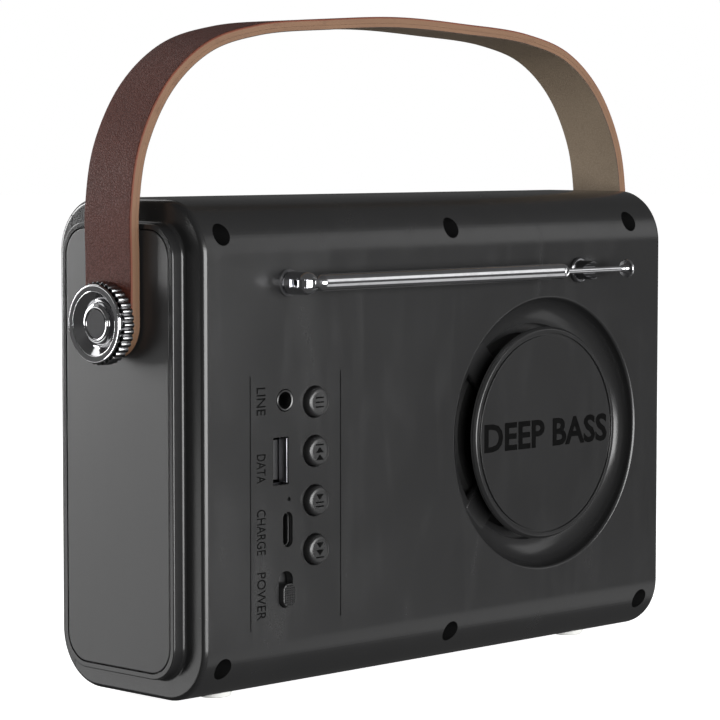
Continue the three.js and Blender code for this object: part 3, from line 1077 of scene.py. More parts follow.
@dataclass
class Case:
    """The black case: rear shell, front bezel, side plinths, screws and feet."""

    maker: Maker
    corner: float = 15.7
    edge: float = 1.5
    wall: float = 2.5
    well: float = 3.0
    post: float = 4.5
    mouth: float = 40.75
    throat: float = 33.0
    throat_depth: float = 7.4
    fillet: float = 1.0
    shell: Seat = field(default_factory=lambda: Seat.of("rear_shell"))
    bezel: Seat = field(default_factory=lambda: Seat.of("front_bezel"))
    cap: Seat = field(default_factory=lambda: Seat.of("bass_cap"))

    @property
    def low(self) -> Vector:
        """Lowest corner of the whole case."""
        return Vector((self.shell.low.x, self.bezel.low.y, self.shell.low.z))

    @property
    def seam(self) -> float:
        """Where the rear shell starts."""
        return self.shell.low.y

    def outer(self) -> Mesh:
        """The case as one solid block.

        Returns:
            The block.
        """
        return prism(self.low, self.shell.high, Axis.X, self.corner, self.edge, 24, (0, 1), 6)

    def inner(self) -> Mesh:
        """The room inside the walls.

        Returns:
            The room as a solid.
        """
        inset = Vector((self.wall,) * 3)
        return prism(
            self.low + inset, self.shell.high - inset, Axis.X, self.corner - self.wall, 0, 12,
        )

    def screws(self) -> list[Seat]:
        """Where the case screws are."""
        return [Seat.of(f"case_screw_{number}") for number in range(1, 7)]

    def bowl(self) -> Mesh:
        """The opening round the bass cap: a rounded rim, a steep wall and a curved floor.

        Returns:
            The opening as a solid.
        """
        centre = self.cap.centre
        lip = 0.9
        profile = [(0.0, 15.0), (self.throat, 15.0)]
        reach, depth = self.mouth - self.throat, self.throat_depth
        for step in range(13):
            turn = step / 12 * math.pi / 2
            profile.append((
                self.throat + reach * math.sin(turn), BACK_Y - lip - (depth - lip) * math.cos(turn),
            ))
        for step in range(1, 7):
            turn = step / 6 * math.pi / 2
            profile.append((
                self.mouth + lip * (1 - math.cos(turn)), BACK_Y - lip + lip * math.sin(turn),
            ))
        profile += [(self.mouth + lip, OUTSIDE), (0.0, OUTSIDE)]
        return turned(profile, Axis.Y, centre, 128)

    def port_tools(self) -> Mesh:
        """Everything that is cut through or into the back wall apart from the bass opening.

        Returns:
            The tools in one mesh.
        """
        tools = [rod(self.well, 0.0, OUTSIDE, Axis.Y, s.centre, 40) for s in self.screws()]
        for glyph in Glyph:
            seat = Seat.of(f"button_{glyph.value}")
            tools.append(turned([
                (0, INSIDE), (4.4, INSIDE), (4.4, BACK_Y - 0.25), (4.65, BACK_Y + 0.01),
                (4.65, OUTSIDE), (0, OUTSIDE),
            ], Axis.Y, seat.centre, 56))
        tools.append(rod(3.2, INSIDE, OUTSIDE, Axis.Y, Seat.of("aux_socket").centre, 48))
        tools.append(slab(*Seat.of("data_socket").centre, 3, 6.65, INSIDE, OUTSIDE, 0.3, 2))
        tools.append(slab(*Seat.of("charge_socket").centre, 1.85, 4.95, INSIDE, OUTSIDE, 1.84, 10))
        tools.append(rod(0.62, INSIDE, OUTSIDE, Axis.Y, Seat.of("status_light").centre, 20))
        tools.append(slab(
            Seat.of("power_slider").middle.x, ControlColumn.SLOT_Z, 2.7, 5.1, INSIDE, OUTSIDE, 2.4,
        ))
        for x, z, half in ControlColumn.LINES:
            tools.append(slab(x, z, 0.22, half, BACK_Y - 0.35, OUTSIDE, 0.2, 2))
        for node, radius in (("antenna_boss", 2.7), ("antenna_clip", 1.9)):
            tools.append(rod(radius, INSIDE, OUTSIDE, Axis.Y, Seat.of(node).centre, 24))
        return together(*tools)

    def build_shell(self) -> None:
        """The rear shell with its screw wells, ports and bass opening."""
        shell = boolean(self.outer(), prism((-FAR, -FAR, -FAR), (FAR, self.seam, FAR), Axis.X, 0))
        shell = boolean(shell, self.inner())
        boss = turned(
            [(0, 19.5), (37, 19.5), (44.5, 24), (44.5, BACK_Y - 1.5), (0, BACK_Y - 1.5)],
            Axis.Y, self.cap.centre, 96,
        )
        shell = boolean(shell, boss, "UNION")
        inset = Vector((0.9,) * 3)
        posts = together(*(
            rod(self.post, -5.7, OUTSIDE, Axis.Y, s.centre, 32) for s in self.screws()
        ))
        posts = boolean(posts, prism(
            self.low + inset, self.shell.high - inset, Axis.X, self.corner - inset.x, 0, 12,
        ), "INTERSECT")
        shell = boolean(shell, posts, "UNION")
        shell = boolean(shell, self.bowl())
        shell = boolean(shell, self.port_tools())
        bolts = together(*(
            rod(BOLT_RADIUS, side * 90, side * 110, Axis.X, (0.0, Seat.of("knob_left").middle.z), 32)
            for side in (-1, 1)
        ))
        shell = boolean(shell, bolts)
        self.maker.piece("rear_shell_skin", shell, BLACK_CASE, "black_shell", ["rear_shell"])

    def build_arms(self) -> None:
        """Four arms and the hub that carry the bass cap across its opening."""
        x, z = self.cap.centre
        top = BACK_Y - self.throat_depth
        guard = rod(9.0, top - 3, top, Axis.Y, (x, z), 48, 0.6)
        for angle in (45, 135, 225, 315):
            arm = prism(
                (6.0, top - 2.6, -5.6), (self.throat + 4.5, top + 0.3, 5.6), Axis.X, 1.0, 0, 3,
            )
            arm.transform(
                Matrix.Translation((x, 0, z)) @ Matrix.Rotation(math.radians(angle), 4, "Y"),
            )
            guard = together(guard, arm)
        self.maker.piece("bass_guard", guard, BLACK_CASE, "black_shell")

    def build_bezel(self) -> None:
        """The front bezel: a rounded frame with a stepped window."""
        bezel = boolean(self.outer(), prism(
            (-FAR, self.bezel_back, -FAR), (FAR, FAR, FAR), Axis.X, 0,
        ))
        grille = Seat.of("front_grille")
        room = 0.3
        window = prism(
            (grille.low.x - room, BEFORE_FRONT, grille.low.z - room),
            (grille.high.x + room, -27.9, grille.high.z + room), Axis.Y, 9, 0, 12,
        )
        bezel = boolean(bezel, window)
        step = prism(
            (grille.low.x + 3, -40, grille.low.z + 3), (grille.high.x - 3, 0, grille.high.z - 3),
            Axis.Y, 6, 0, 10,
        )
        bezel = boolean(bezel, step)
        self.maker.piece(
            "front_bezel_skin", bezel, BLACK_CASE, "black_shell", ["front_bezel"], chamfer=0.5,
            crease=40.0,
        )

    @property
    def bezel_back(self) -> float:
        """Where the bezel meets the rear shell, with a hairline parting gap."""
        return self.seam - 0.25

    def build_side(self, side: str) -> None:
        """One raised side plinth with the flat panel let into it.

        Args:
            side: left or right.
        """
        mirrored = side == "left"
        cap, panel = Seat.of("side_cap_right"), Seat.of("side_inlay_right")
        reach, edge, foot = self.fillet, 0.4, self.shell.high.x
        spread = Vector((0, reach, reach))
        plinth = prism(
            Vector((foot - 0.6, cap.low.y, cap.low.z)) - spread,
            Vector((foot, cap.high.y, cap.high.z)) + spread, Axis.X, 9.5 + reach, 0, 16,
        )
        steps = [step * math.pi / 12 for step in range(7)]
        moves = [(reach * (math.sin(b) - math.sin(a)), reach * (math.cos(a) - math.cos(b)))
                 for a, b in zip(steps, steps[1:])]
        moves.append((NEAR, cap.high.x - foot - reach - edge))
        moves += [(edge * (math.cos(a) - math.cos(b)), edge * (math.sin(b) - math.sin(a)))
                  for a, b in zip(steps, steps[1:])]
        top = max(plinth.faces, key=lambda face: face.calc_center_median().x)
        for inward, outward in moves:
            bmesh.ops.inset_region(
                plinth, faces=[top], thickness=inward, depth=outward, use_even_offset=True,
            )
        gap = 0.35
        pocket = prism(
            (cap.high.x - 1.2, panel.low.y - gap, panel.low.z - gap),
            (cap.high.x + 5, panel.high.y + gap, panel.high.z + gap), Axis.X, 8.3, 0, 16,
        )
        plinth = boolean(plinth, pocket)
        plinth = boolean(plinth, rod(BOLT_RADIUS, 90, 110, Axis.X, (0.0, BOLT_Z), 32))
        self.maker.piece(
            f"side_plinth_{side}", plinth, BLACK_CASE, "side_panel", [f"side_cap_{side}"],
            mirrored=mirrored,
        )
        inset = prism(
            (cap.high.x - 1.1, panel.low.y, panel.low.z), (cap.high.x, panel.high.y, panel.high.z),
            Axis.X, 7.9, 0.28, 16, (1,), 3,
        )
        inset = boolean(inset, rod(BOLT_RADIUS, 90, 110, Axis.X, (0.0, BOLT_Z), 32))
        self.maker.piece(
            f"side_panel_{side}", inset, SIDE_SATIN, "side_panel", [f"side_inlay_{side}"],
            mirrored=mirrored,
        )

    def build_screws(self) -> None:
        """Six cross-head screws at the bottom of their wells."""
        for number, seat in enumerate(self.screws(), 1):
            centre = seat.centre
            head = seat.high.y
            screw = turned([
                (0, seat.low.y), (1.5, seat.low.y + 1.5), (1.5, head - 1.6), (2.6, head - 1.6),
                (2.6, head - 0.6), (1.9, head - 0.1), (0, head),
            ], Axis.Y, centre, 32, 0.15)
            for wide, tall in ((1.5, 0.35), (0.35, 1.5)):
                screw = boolean(screw, prism(
                    (centre[0] - wide, head - 0.9, centre[1] - tall),
                    (centre[0] + wide, head + 2, centre[1] + tall), Axis.Y, 0,
                ))
            self.maker.piece(
                f"screw_{number}", screw, SCREW_STEEL, "dark_steel", [f"case_screw_{number}"],
            )

    def build_feet(self) -> None:
        """Four pale soft feet, narrower and rounded underneath."""
        for number in range(1, 5):
            seat = Seat.of(f"foot_{number}")
            wide = seat.size.x / 2
            low, high = seat.low.z, 0.05
            foot = bmesh.new()
            bmesh.ops.create_cone(
                foot, cap_ends=True, segments=48, radius1=wide - 0.5, radius2=wide,
                depth=high - low,
            )
            bmesh.ops.translate(
                foot, vec=(seat.middle.x, seat.middle.y, (low + high) / 2), verts=foot.verts,
            )
            bevel(foot, edges_in_plane(foot, Axis.Z, low), 0.4, 3)
            self.maker.piece(
                f"foot_pad_{number}", foot, FOOT_RUBBER, "foot_rubber", [f"foot_{number}"],
            )

    def build(self) -> None:
        """Builds the whole case."""
        self.build_shell()
        self.build_arms()
        self.build_bezel()
        for side in ("left", "right"):
            self.build_side(side)
        self.build_screws()
        self.build_feet()


# The bass radiator in the back


@dataclass
class BassRadiator:
    """The lettered cap in the back wall and the passive cone behind it."""

    maker: Maker
    face: float = 29.6
    ring: float = 30.3
    cap: Seat = field(default_factory=lambda: Seat.of("bass_cap"))

    def build(self) -> None:
        """Builds the cap, its lettering and the cone behind."""
        centre = self.cap.centre
        rim = self.cap.size.x / 2
        top, floor = BACK_Y, BACK_Y - 2.4
        cap = turned([
            (0, self.cap.low.y), (7, self.cap.low.y), (7, floor), (rim - 0.9, floor),
            (rim, floor + 0.7), (rim, top - 0.9), (rim - 0.75, top), (self.ring, top),
            (self.ring, top - 0.7), (self.face, top - 0.7), (self.face, top), (0, top),
        ], Axis.Y, centre, 128, 0.22)
        self.maker.piece("bass_disc", cap, BLACK_CASE, "soft_black", ["bass_cap"])
        words = lettering(
            "DEEP BASS", 8.6, (centre[0], top + 0.02, centre[1]), (-1, 0, 0), (0, 0, 1),
            0.08, 0.028, 56.0,
        )
        self.maker.piece("bass_words", words, DARK_INK, "soft_black", weighted=False)
        surround = turned([
            (21.5, 15.6), (22.4, 16.6), (23.2, 18.6), (25.2, 19.3), (27.4, 18.9), (28.9, 17.2),
            (29.8, 16.2), (29.8, 15.4), (28.5, 16.0), (26.0, 18.0), (23.8, 17.2), (22.0, 15.0),
            (21.5, 15.6),
        ], Axis.Y, centre, 96)
        self.maker.piece(
            "bass_roll", surround, ROLL_RUBBER, "surround_rubber", ["radiator_surround"],
        )
        plate = turned([
            (0, 14.3), (21.8, 14.3), (21.8, 16.2), (20.5, 16.8), (12, 16.6), (9, 15.6), (0, 15.6),
        ], Axis.Y, centre, 96, 0.4)
        # The plate's steel is darkened: painted shade behind the cap.
        self.maker.piece("bass_plate", plate, PAINTED_SHADE_STEEL, "magnet_steel", ["radiator_plate"])
        hoop = turned([
            (30, 14.6), (35, 14.6), (37.8, 17.4), (37.8, 19.3), (30, 19.3), (30, 14.6),
        ], Axis.Y, centre, 96, 0.0)
        self.maker.piece("bass_hoop", hoop, DEEP_BLACK, "soft_black", ["radiator_frame"])


# Controls and sockets


class Glyph(Enum):
    """The marks on the four buttons."""

    MODE = "mode"
    PREVIOUS = "previous"
    PLAY = "play"
    NEXT = "next"


@dataclass
class ControlColumn:
    """The column of sockets, buttons and the power slider, with its printed labels."""

    SLOT_Z = 29.4
    LINES = ((79.7, 54.25, 35.25), (44.9, 54.55, 34.95))
    LABELS = (("LINE", 82.4, 7.6), ("DATA", 63.8, 8.0), ("CHARGE", 46.2, 12.6), ("POWER", 28.4, 13.2))

    maker: Maker
    label_x: float = 75.6
    label_height: float = 3.3
    stroke: float = 0.05

    def marks(self, glyph: Glyph, x: float, z: float, y: float) -> Mesh:
        """A button's mark.

        Args:
            glyph: which mark.
            x: middle of the button.
            z: middle of the button.
            y: the button's face.

        Returns:
            Bars and triangles as thin solids, reading downwards.
        """

        def bar(offset: float) -> Mesh:
            """A bar across the reading direction.

            Args:
                offset: how far above the button's middle it is.

            Returns:
                The bar.
            """
            return slab(x, z + offset, 1.55, 0.2, y - 0.1, y + self.stroke)

        def arrow(offset: float, way: int) -> Mesh:
            """A triangle that points up or down.

            Args:
                offset: how far above the button's middle it is.
                way: 1 for up, -1 for down.

            Returns:
                The triangle.
            """
            return cylinder(
                1.05, 0.15, 3, Matrix.Translation((x, y - 0.025, z + offset))
                @ Matrix.Diagonal((1.6, 1.0, 1.0, 1.0))
                @ Matrix.Rotation(math.radians(90), 4, "X")
                @ Matrix.Rotation(math.radians(0 if way > 0 else 180), 4, "Z"),
            )

        shapes = {
            Glyph.MODE: lambda: [bar(1.3), bar(0.0), bar(-1.3)],
            Glyph.PREVIOUS: lambda: [bar(1.9), arrow(0.2, 1), arrow(-1.9, 1)],
            Glyph.PLAY: lambda: [arrow(1.4, -1), bar(-0.4), bar(-1.55)],
            Glyph.NEXT: lambda: [arrow(1.6, -1), arrow(-0.5, -1), bar(-2.1)],
        }
        return together(*shapes[glyph]())

    def build_buttons(self) -> None:
        """Four round keys with domed edges and their marks."""
        for glyph in Glyph:
            seat = Seat.of(f"button_{glyph.value}")
            (x, z), top = seat.centre, seat.high.y
            key = turned([
                (0, seat.low.y), (4.9, seat.low.y), (4.9, 27.2), (4.1, 27.2), (4.1, top - 0.9),
                (3.75, top - 0.2), (2.9, top), (0, top - 0.12),
            ], Axis.Y, (x, z), 64, 0.35)
            self.maker.piece(
                f"key_{glyph.value}", key, KEY_BLACK, "button_black", [f"button_{glyph.value}"],
                seat_body(f"button_{glyph.value}"),
            )
            self.maker.piece(
                f"mark_{glyph.value}", self.marks(glyph, x, z, top - 0.03), DARK_INK,
                "button_black", body=seat_body(f"button_{glyph.value}"), weighted=False,
            )

    def build_slider(self) -> None:
        """The power slider's cap, cut into small pyramids by a cross hatch."""
        seat = Seat.of("power_slider")
        x, top = seat.middle.x, seat.high.y
        half_x, low_z = 2.4, 24.6
        high_z = low_z + 6.6
        cap = prism((x - half_x, 26, low_z), (x + half_x, top - 0.35, high_z), Axis.Y, 2.1, 0.3, 8,
                    (1,), 2)
        plate = prism((x - 3.7, 25.1, low_z - 1.5), (x + 3.7, 27.1, high_z + 3.7), Axis.Y, 0.5, 0, 2)
        cells_x, cells_z = 6, 9
        pitch = 0.66
        hatch = bmesh.new()
        bmesh.ops.create_grid(
            hatch, x_segments=cells_x, y_segments=cells_z, size=0.5,
            matrix=Matrix.Translation((x, top - 0.37, (low_z + high_z) / 2))
            @ Matrix.Rotation(math.radians(-90), 4, "X")
            @ Matrix.Diagonal((cells_x * pitch, cells_z * pitch, 1.0, 1.0)),
        )
        corners = [
            face for face in hatch.faces
            if abs(face.calc_center_median().x - x) > 1.4
            and abs(face.calc_center_median().z - (low_z + high_z) / 2) > 2.6
        ]
        bmesh.ops.delete(hatch, geom=corners, context="FACES")
        bmesh.ops.inset_individual(hatch, faces=hatch.faces[:], thickness=0.07)
        tips = [f for f in hatch.faces if f.calc_area() > pitch * pitch * 0.5]
        lifted = bmesh.ops.extrude_discrete_faces(hatch, faces=tips)["faces"]
        bmesh.ops.translate(
            hatch, vec=(0, 0.32, 0), verts=list({v for f in lifted for v in f.verts}),
        )
        for tip in lifted:
            bmesh.ops.scale(
                hatch, vec=(0.5, 1.0, 0.5), verts=tip.verts,
                space=Matrix.Translation(-tip.calc_center_median()),
            )
        body = seat_body("power_slider")
        self.maker.piece("slider_cap", cap, KEY_BLACK, "button_black", ["power_slider"], body)
        self.maker.piece("slider_plate", plate, DEEP_BLACK, "button_black", body=body, chamfer=0.1)
        self.maker.piece(
            "slider_hatch", hatch, KEY_BLACK, "button_black", body=body, weighted=False,
        )

    def build_sockets(self) -> None:
        """The jack, the data socket, the charge socket and the status light."""
        jack = Seat.of("aux_socket")
        centre = jack.centre
        ring = turned([
            (1.75, 15), (3.0, 15), (3.0, BACK_Y + 0.05), (2.8, BACK_Y + 0.2),
            (2.45, BACK_Y + 0.1), (2.3, BACK_Y - 0.6), (1.75, BACK_Y - 1.6), (1.75, 15),
        ], Axis.Y, centre, 64)
        self.maker.piece("jack_ring", ring, NICKEL, "socket_steel", ["aux_socket"])
        sleeve = turned([
            (0, 14.5), (2.4, 14.5), (2.4, 16), (1.2, 16), (1.2, 20), (0, 20.5),
        ], Axis.Y, centre, 32)
        self.maker.piece("jack_contact", sleeve, DEEP_BLACK, "socket_steel")
        data = Seat.of("data_socket")
        x, z = data.centre
        shell = slab(x, z, 3.3, 6.9, 15, 27.3, 0.5, 3)
        shell = boolean(shell, slab(x, z, 2.75, 6.3, 16.5, 30, 0.3, 2))
        tongue = slab(x - 1.55, z, 0.85, 5.6, 16, 26.6, 0.2, 2, 0.15)
        # The socket shell's steel is darkened: painted shade inside the slot.
        self.maker.piece(
            "data_shell", shell, PAINTED_SHADE_STEEL, "socket_steel", ["data_socket"], chamfer=0.08,
        )
        self.maker.piece("data_tongue", tongue, DEEP_BLACK, "socket_steel")
        contacts = [
            slab(x - 0.675, z - 3.5 + number * 7.0 / 3, 0.075, 0.5, 18, 26.2) for number in range(4)
        ]
        self.maker.piece("data_contacts", together(*contacts), ZINC, "socket_steel")
        lip = slab(x - 2.6, z, 0.15, 6.2, 26.9, BACK_Y - 0.3)
        self.maker.piece("data_lip", lip, ZINC, "socket_steel", chamfer=0.06)
        charge = Seat.of("charge_socket")
        x, z = charge.centre
        hull = slab(x, z, 1.6, 4.7, 16, BACK_Y - 1.3, 1.58, 10)
        hull = boolean(hull, slab(x, z, 1.3, 4.4, 17, 40, 1.28, 10))
        self.maker.piece(
            "charge_shell", hull, NICKEL, "socket_steel", ["charge_socket"], chamfer=0.06,
        )
        blade = slab(x, z, 0.35, 3.4, 16.5, 27.2, 0.2, 2, 0.1)
        self.maker.piece("charge_blade", blade, DEEP_BLACK, "socket_steel")
        lamp = Seat.of("status_light")
        guide = turned([
            (0, lamp.low.y), (0.5, lamp.low.y), (0.5, BACK_Y - 2.1), (0.3, BACK_Y - 1.85),
            (0, BACK_Y - 1.8),
        ], Axis.Y, lamp.centre, 20)
        self.maker.piece("lamp_guide", guide, GUIDE, "light_guide", ["status_light"])

    def build_labels(self) -> None:
        """Plain words beside the sockets, turned to read downwards."""
        for words, z, length in self.LABELS:
            text = lettering(
                words, self.label_height, (self.label_x, BACK_Y + 0.015, z), (0, 0, -1), (-1, 0, 0),
                0.05, 0.0, length,
            )
            self.maker.piece(f"label_{words.lower()}", text, DARK_INK, "soft_black", weighted=False)

    def build(self) -> None:
        """Builds the whole column."""
        self.build_buttons()
        self.build_slider()
        self.build_sockets()
        self.build_labels()


def seat_body(node: str) -> str:
    """The CAD body that a node belongs to.

    Args:
        node: the node's name.

    Returns:
        The body's name.
    """
    bodies = frame["record"]["behaviour"]["bodies"]
    return next(body for body, nodes in bodies.items() if node in nodes)


# The antenna


@dataclass
class Antenna:
    """The folding telescopic antenna, its swivel and the clip that holds it."""

    maker: Maker
    slot: float = 1.2
    tongue: float = 2.6
    barrel: float = 3.3

    def pivot(self) -> Vector:
        """Where the fork's pin crosses the swivel's axis."""
        return Seat.of("antenna_pin").middle

    def build_swivel(self) -> None:
        """The flange on the case, the turning fork and its pin."""
        boss = Seat.of("antenna_boss")
        pivot = self.pivot()
        centre = (pivot.x, pivot.z)
        flange = turned([
            (1.8, boss.low.y), (2.4, boss.low.y), (2.4, BACK_Y + 0.05), (3.9, BACK_Y + 0.05),
            (3.9, boss.high.y - 0.35), (3.6, boss.high.y), (1.8, boss.high.y), (1.8, boss.low.y),
        ], Axis.Y, centre, 64)
        self.maker.piece("antenna_flange", flange, CHROME, "chrome", ["antenna_boss"])
        low = boss.high.y + 0.25
        profile = [(0, low - 10), (1.5, low - 10), (1.5, low), (self.barrel - 0.15, low),
                   (self.barrel, low + 0.15)]
        for step in range(9):
            turn = step / 8 * math.radians(60)
            profile.append((self.barrel * math.cos(turn), pivot.y + self.barrel * math.sin(turn)))
        profile.append((0, pivot.y + self.barrel * math.sin(math.radians(60))))
        fork = turned(profile, Axis.Y, centre, 64)
        fork = boolean(fork, slab(*centre, 6, self.slot, pivot.y - 3.4, pivot.y + 6))
        self.maker.piece(
            "antenna_fork", fork, CHROME, "chrome", ["antenna_swivel"], "antenna_swivel",
            chamfer=0.15,
        )
        pin = cylinder(0.62, 6.3, 32, Matrix.Translation(pivot))
        self.maker.piece(
            "antenna_pin_head", pin, ZINC, "chrome", ["antenna_pin"], "antenna_swivel",
            chamfer=0.12,
        )

    def build_tubes(self) -> None:
        """The four telescopic sections and the tip."""
        pivot = self.pivot()
        centre = (pivot.y, pivot.z)
        first = Seat.of("antenna_tube_1")
        start, end, radius = pivot.x - 5.7, first.low.x, 2.4
        tube = turned([
            *((radius * math.sin(turn), start - 0.1 + 2.2 * math.cos(turn))
              for turn in (step * math.pi / 16 for step in range(9))),
            (radius, end + 2.2), (radius - 0.1, end + 2.05), (radius, end + 1.9),
            (radius, end + 1.2), (2.1, end), (2.0, end), (2.0, start - 3), (0, start - 3),
        ], Axis.X, centre, 48, 0.2)
        knuckle = cylinder(self.tongue, 1.8, 48, Matrix.Translation(pivot))
        neck = prism(
            (start - 1, pivot.y - 1.5, pivot.z - 0.88), (pivot.x, pivot.y + 1.5, pivot.z + 0.88),
            Axis.X, 0,
        )
        tube = boolean(tube, neck, "UNION")
        tube = boolean(tube, knuckle, "UNION")
        self.maker.piece(
            "antenna_main_tube", tube, TUBE_CHROME, "chrome", ["antenna_tube_1"], "antenna_tube_1",
        )
        for number, outer, inner in ((2, 1.9, 1.6), (3, 1.38, 1.05)):
            seat = Seat.of(f"antenna_tube_{number}")
            section = turned([
                (0, seat.high.x), (outer, seat.high.x), (outer, seat.low.x + 0.7),
                (inner + 0.1, seat.low.x), (inner, seat.low.x), (inner, seat.high.x - 0.9),
                (0, seat.high.x - 0.9),
            ], Axis.X, centre, 40, 0.12)
            self.maker.piece(
                f"antenna_section_{number}", section, TUBE_CHROME, "chrome",
                [f"antenna_tube_{number}"], f"antenna_tube_{number}",
            )
        last = Seat.of("antenna_rod")
        thin = rod(last.size.z / 2, last.low.x, last.high.x, Axis.X, centre, 32, 0.1)
        self.maker.piece(
            "antenna_thin_rod", thin, TUBE_CHROME, "chrome", ["antenna_rod"], "antenna_rod",
        )
        tip = Seat.of("antenna_tip")
        wide = tip.size.z / 2
        button = turned([
            (0, tip.low.x), (wide - 0.2, tip.low.x), (wide, tip.low.x + 0.2),
            (wide, tip.low.x + 0.7), (wide - 0.2, tip.low.x + 0.9), (1.4, tip.low.x + 1.0),
            (1.15, tip.low.x + 2.6), (0.9, tip.low.x + 3.4), (0.9, tip.high.x + 0.28),
            (0, tip.high.x + 0.28),
        ], Axis.X, centre, 48, 0.1)
        self.maker.piece(
            "antenna_tip_button", button, CHROME, "chrome", ["antenna_tip"], "antenna_rod",
        )

    def build_clip(self) -> None:
        """The grooved post that the folded antenna lies in."""
        seat = Seat.of("antenna_clip")
        centre = seat.centre
        post = turned([
            (0, 22), (1.5, 22), (1.5, BACK_Y + 0.05), (3.9, BACK_Y + 0.05),
            (3.9, BACK_Y + 0.9), (3.4, BACK_Y + 1.2), (2.95, BACK_Y + 1.25),
            (2.95, seat.high.y - 0.3), (2.65, seat.high.y), (0, seat.high.y),
        ], Axis.Y, centre, 64, 0.1)
        groove_y = seat.high.y + 0.3
        groove = rod(2.2, seat.middle.x - 6, seat.middle.x + 6, Axis.X, (groove_y, centre[1]), 40)
        post = boolean(post, groove)
        self.maker.piece(
            "antenna_rest", post, BLACK_STEEL, "dark_steel", ["antenna_clip"], chamfer=0.12,
        )

    def build(self) -> None:
        """Builds the whole antenna."""
        self.build_swivel()
        self.build_tubes()
        self.build_clip()


# The strap and its knobs


@dataclass
class CarryingStrap:
    """The leather strap, its lining and the chrome knobs that hold it."""

    maker: Maker
    half_line: tuple[Pair, ...] = (
        (104.6, 104.0), (104.6, 120.0), (104.6, 136.0), (101.3, 153.0), (91.4, 169.8),
        (76.5, 181.2), (57.0, 186.6), (28.0, 189.0), (0.0, 190.2),
    )
    half_width: float = 9.8
    leather: float = 1.9
    lining: float = 1.3
    axis_z: float = 104.0
    hole: float = 3.3
    cuts: int = 260
    ribs: int = 36
    face_x: float = 109.8

    @staticmethod
    def catmull(p0: Vector, p1: Vector, p2: Vector, p3: Vector, t: float) -> Vector:
        """A point on the centripetal curve between p1 and p2.

        Args:
            p0: the point before.
            p1: where the stretch starts.
            p2: where it ends.
            p3: the point after.
            t: how far along, from 0 to 1.

        Returns:
            The point.
        """
        knots = [0.0]
        for a, b in ((p0, p1), (p1, p2), (p2, p3)):
            knots.append(knots[-1] + math.sqrt((b - a).length))
        at = knots[1] + (knots[2] - knots[1]) * t

        def between(a: Vector, b: Vector, low: float, high: float) -> Vector:
            """Blends a and b by where the moment falls between two knots.

            Args:
                a: the first point.
                b: the second point.
                low: where the first knot is.
                high: where the second knot is.

            Returns:
                The blend.
            """
            return a * ((high - at) / (high - low)) + b * ((at - low) / (high - low))

        a1 = between(p0, p1, knots[0], knots[1])
        a2 = between(p1, p2, knots[1], knots[2])
        a3 = between(p2, p3, knots[2], knots[3])
        b1 = between(a1, a2, knots[0], knots[2])
        b2 = between(a2, a3, knots[1], knots[3])
        return between(b1, b2, knots[1], knots[2])

    def line(self) -> tuple[list[Vector], list[float]]:
        """The strap's outer line in X and Z from end to end, and how far along each point is.

        Returns:
            The points and the distances.
        """
        half = [Vector(p) for p in self.half_line]
        points = [Vector((-p.x, p.y)) for p in half[:-1]] + half[::-1]
        ends = [points[0] * 2 - points[1], *points, points[-1] * 2 - points[-2]]
        fine: list[Vector] = []
        for stretch in zip(ends, ends[1:], ends[2:], ends[3:]):
            fine += [self.catmull(*stretch, step / 40) for step in range(40)]
        fine.append(points[-1])
        reach = [0.0]
        for a, b in zip(fine, fine[1:]):
            reach.append(reach[-1] + (b - a).length)
        return fine, reach

    def layer(self, near: float, far: float, rounding: float, end: int) -> Mesh:
        """One layer of the strap, cut out flat and then bent along its line.

        Args:
            near: depth of its outer face under the strap's outer line.
            far: depth of its inner face.
            rounding: how much the long edges of one face are rounded.
            end: which face's edges are rounded, 0 for the outer one and 1 for the inner one.

        Returns:
            A closed mesh with a UV map in metres. Material 0 is the broad faces, 1 the cut sides
            and 2 the rounded shoulders.
        """
        fine, reach = self.line()
        half = reach[-1] / 2
        tip = half + self.half_width
        strip = prism(
            (-tip, -self.half_width, near), (tip, self.half_width, far), Axis.Z,
            self.half_width - 0.02, rounding, 24, (end,), 3,
        )
        strip = boolean(strip, together(*(
            cylinder(self.hole, 20, 40, Matrix.Translation((side * half, 0, 0))) for side in (-1, 1)
        )))
        planes = [
            ((half * (2 * step / self.cuts - 1), 0, 0), (1, 0, 0)) for step in range(1, self.cuts)
        ]
        planes += [((0, at * self.half_width, 0), (0, 1, 0)) for at in (-0.6, -0.2, 0.2, 0.6)]
        for spot, way in planes:
            everything = strip.verts[:] + strip.edges[:] + strip.faces[:]
            bmesh.ops.bisect_plane(strip, geom=everything, plane_co=spot, plane_no=way, dist=NEAR)
        uv = strip.loops.layers.uv.new("strap")
        for face in strip.faces:
            lean = abs(face.normal.z)
            face.material_index = 0 if lean > 0.95 else 1 if lean < 0.12 else 2
            for loop in face.loops:
                spot = loop.vert.co
                rise = spot.z if face.material_index == 1 else spot.y
                loop[uv].uv = (spot.x * MM, rise * MM)
        self.bend(strip, fine, reach, half)
        bmesh.ops.recalc_face_normals(strip, faces=strip.faces)
        return strip

    @staticmethod
    def bend(strip: Mesh, fine: Sequence[Vector], reach: Sequence[float], half: float) -> None:
        """Bends a flat strip along the strap's line.

        Args:
            strip: the strip, X along it, Y across and Z into it.
            fine: points of the line.
            reach: how far along each point is.
            half: half of the line's length.
        """
        ways = [(b - a).normalized() for a, b in zip(fine, fine[1:])]
        for vert in strip.verts:
            along = vert.co.x + half
            at = min(max(bisect.bisect_right(reach, along) - 1, 0), len(ways) - 1)
            share = (along - reach[at]) / (reach[at + 1] - reach[at])
            way = ways[at]
            if 0 < share < 1:
                other = ways[max(at - 1, 0)] if share < 0.5 else ways[min(at + 1, len(ways) - 1)]
                way = way.lerp(other, abs(share - 0.5)).normalized()
            spot = fine[at] + ways[at] * (along - reach[at]) + Vector((way.y, -way.x)) * vert.co.z
            vert.co = (spot.x, vert.co.y, spot.y)

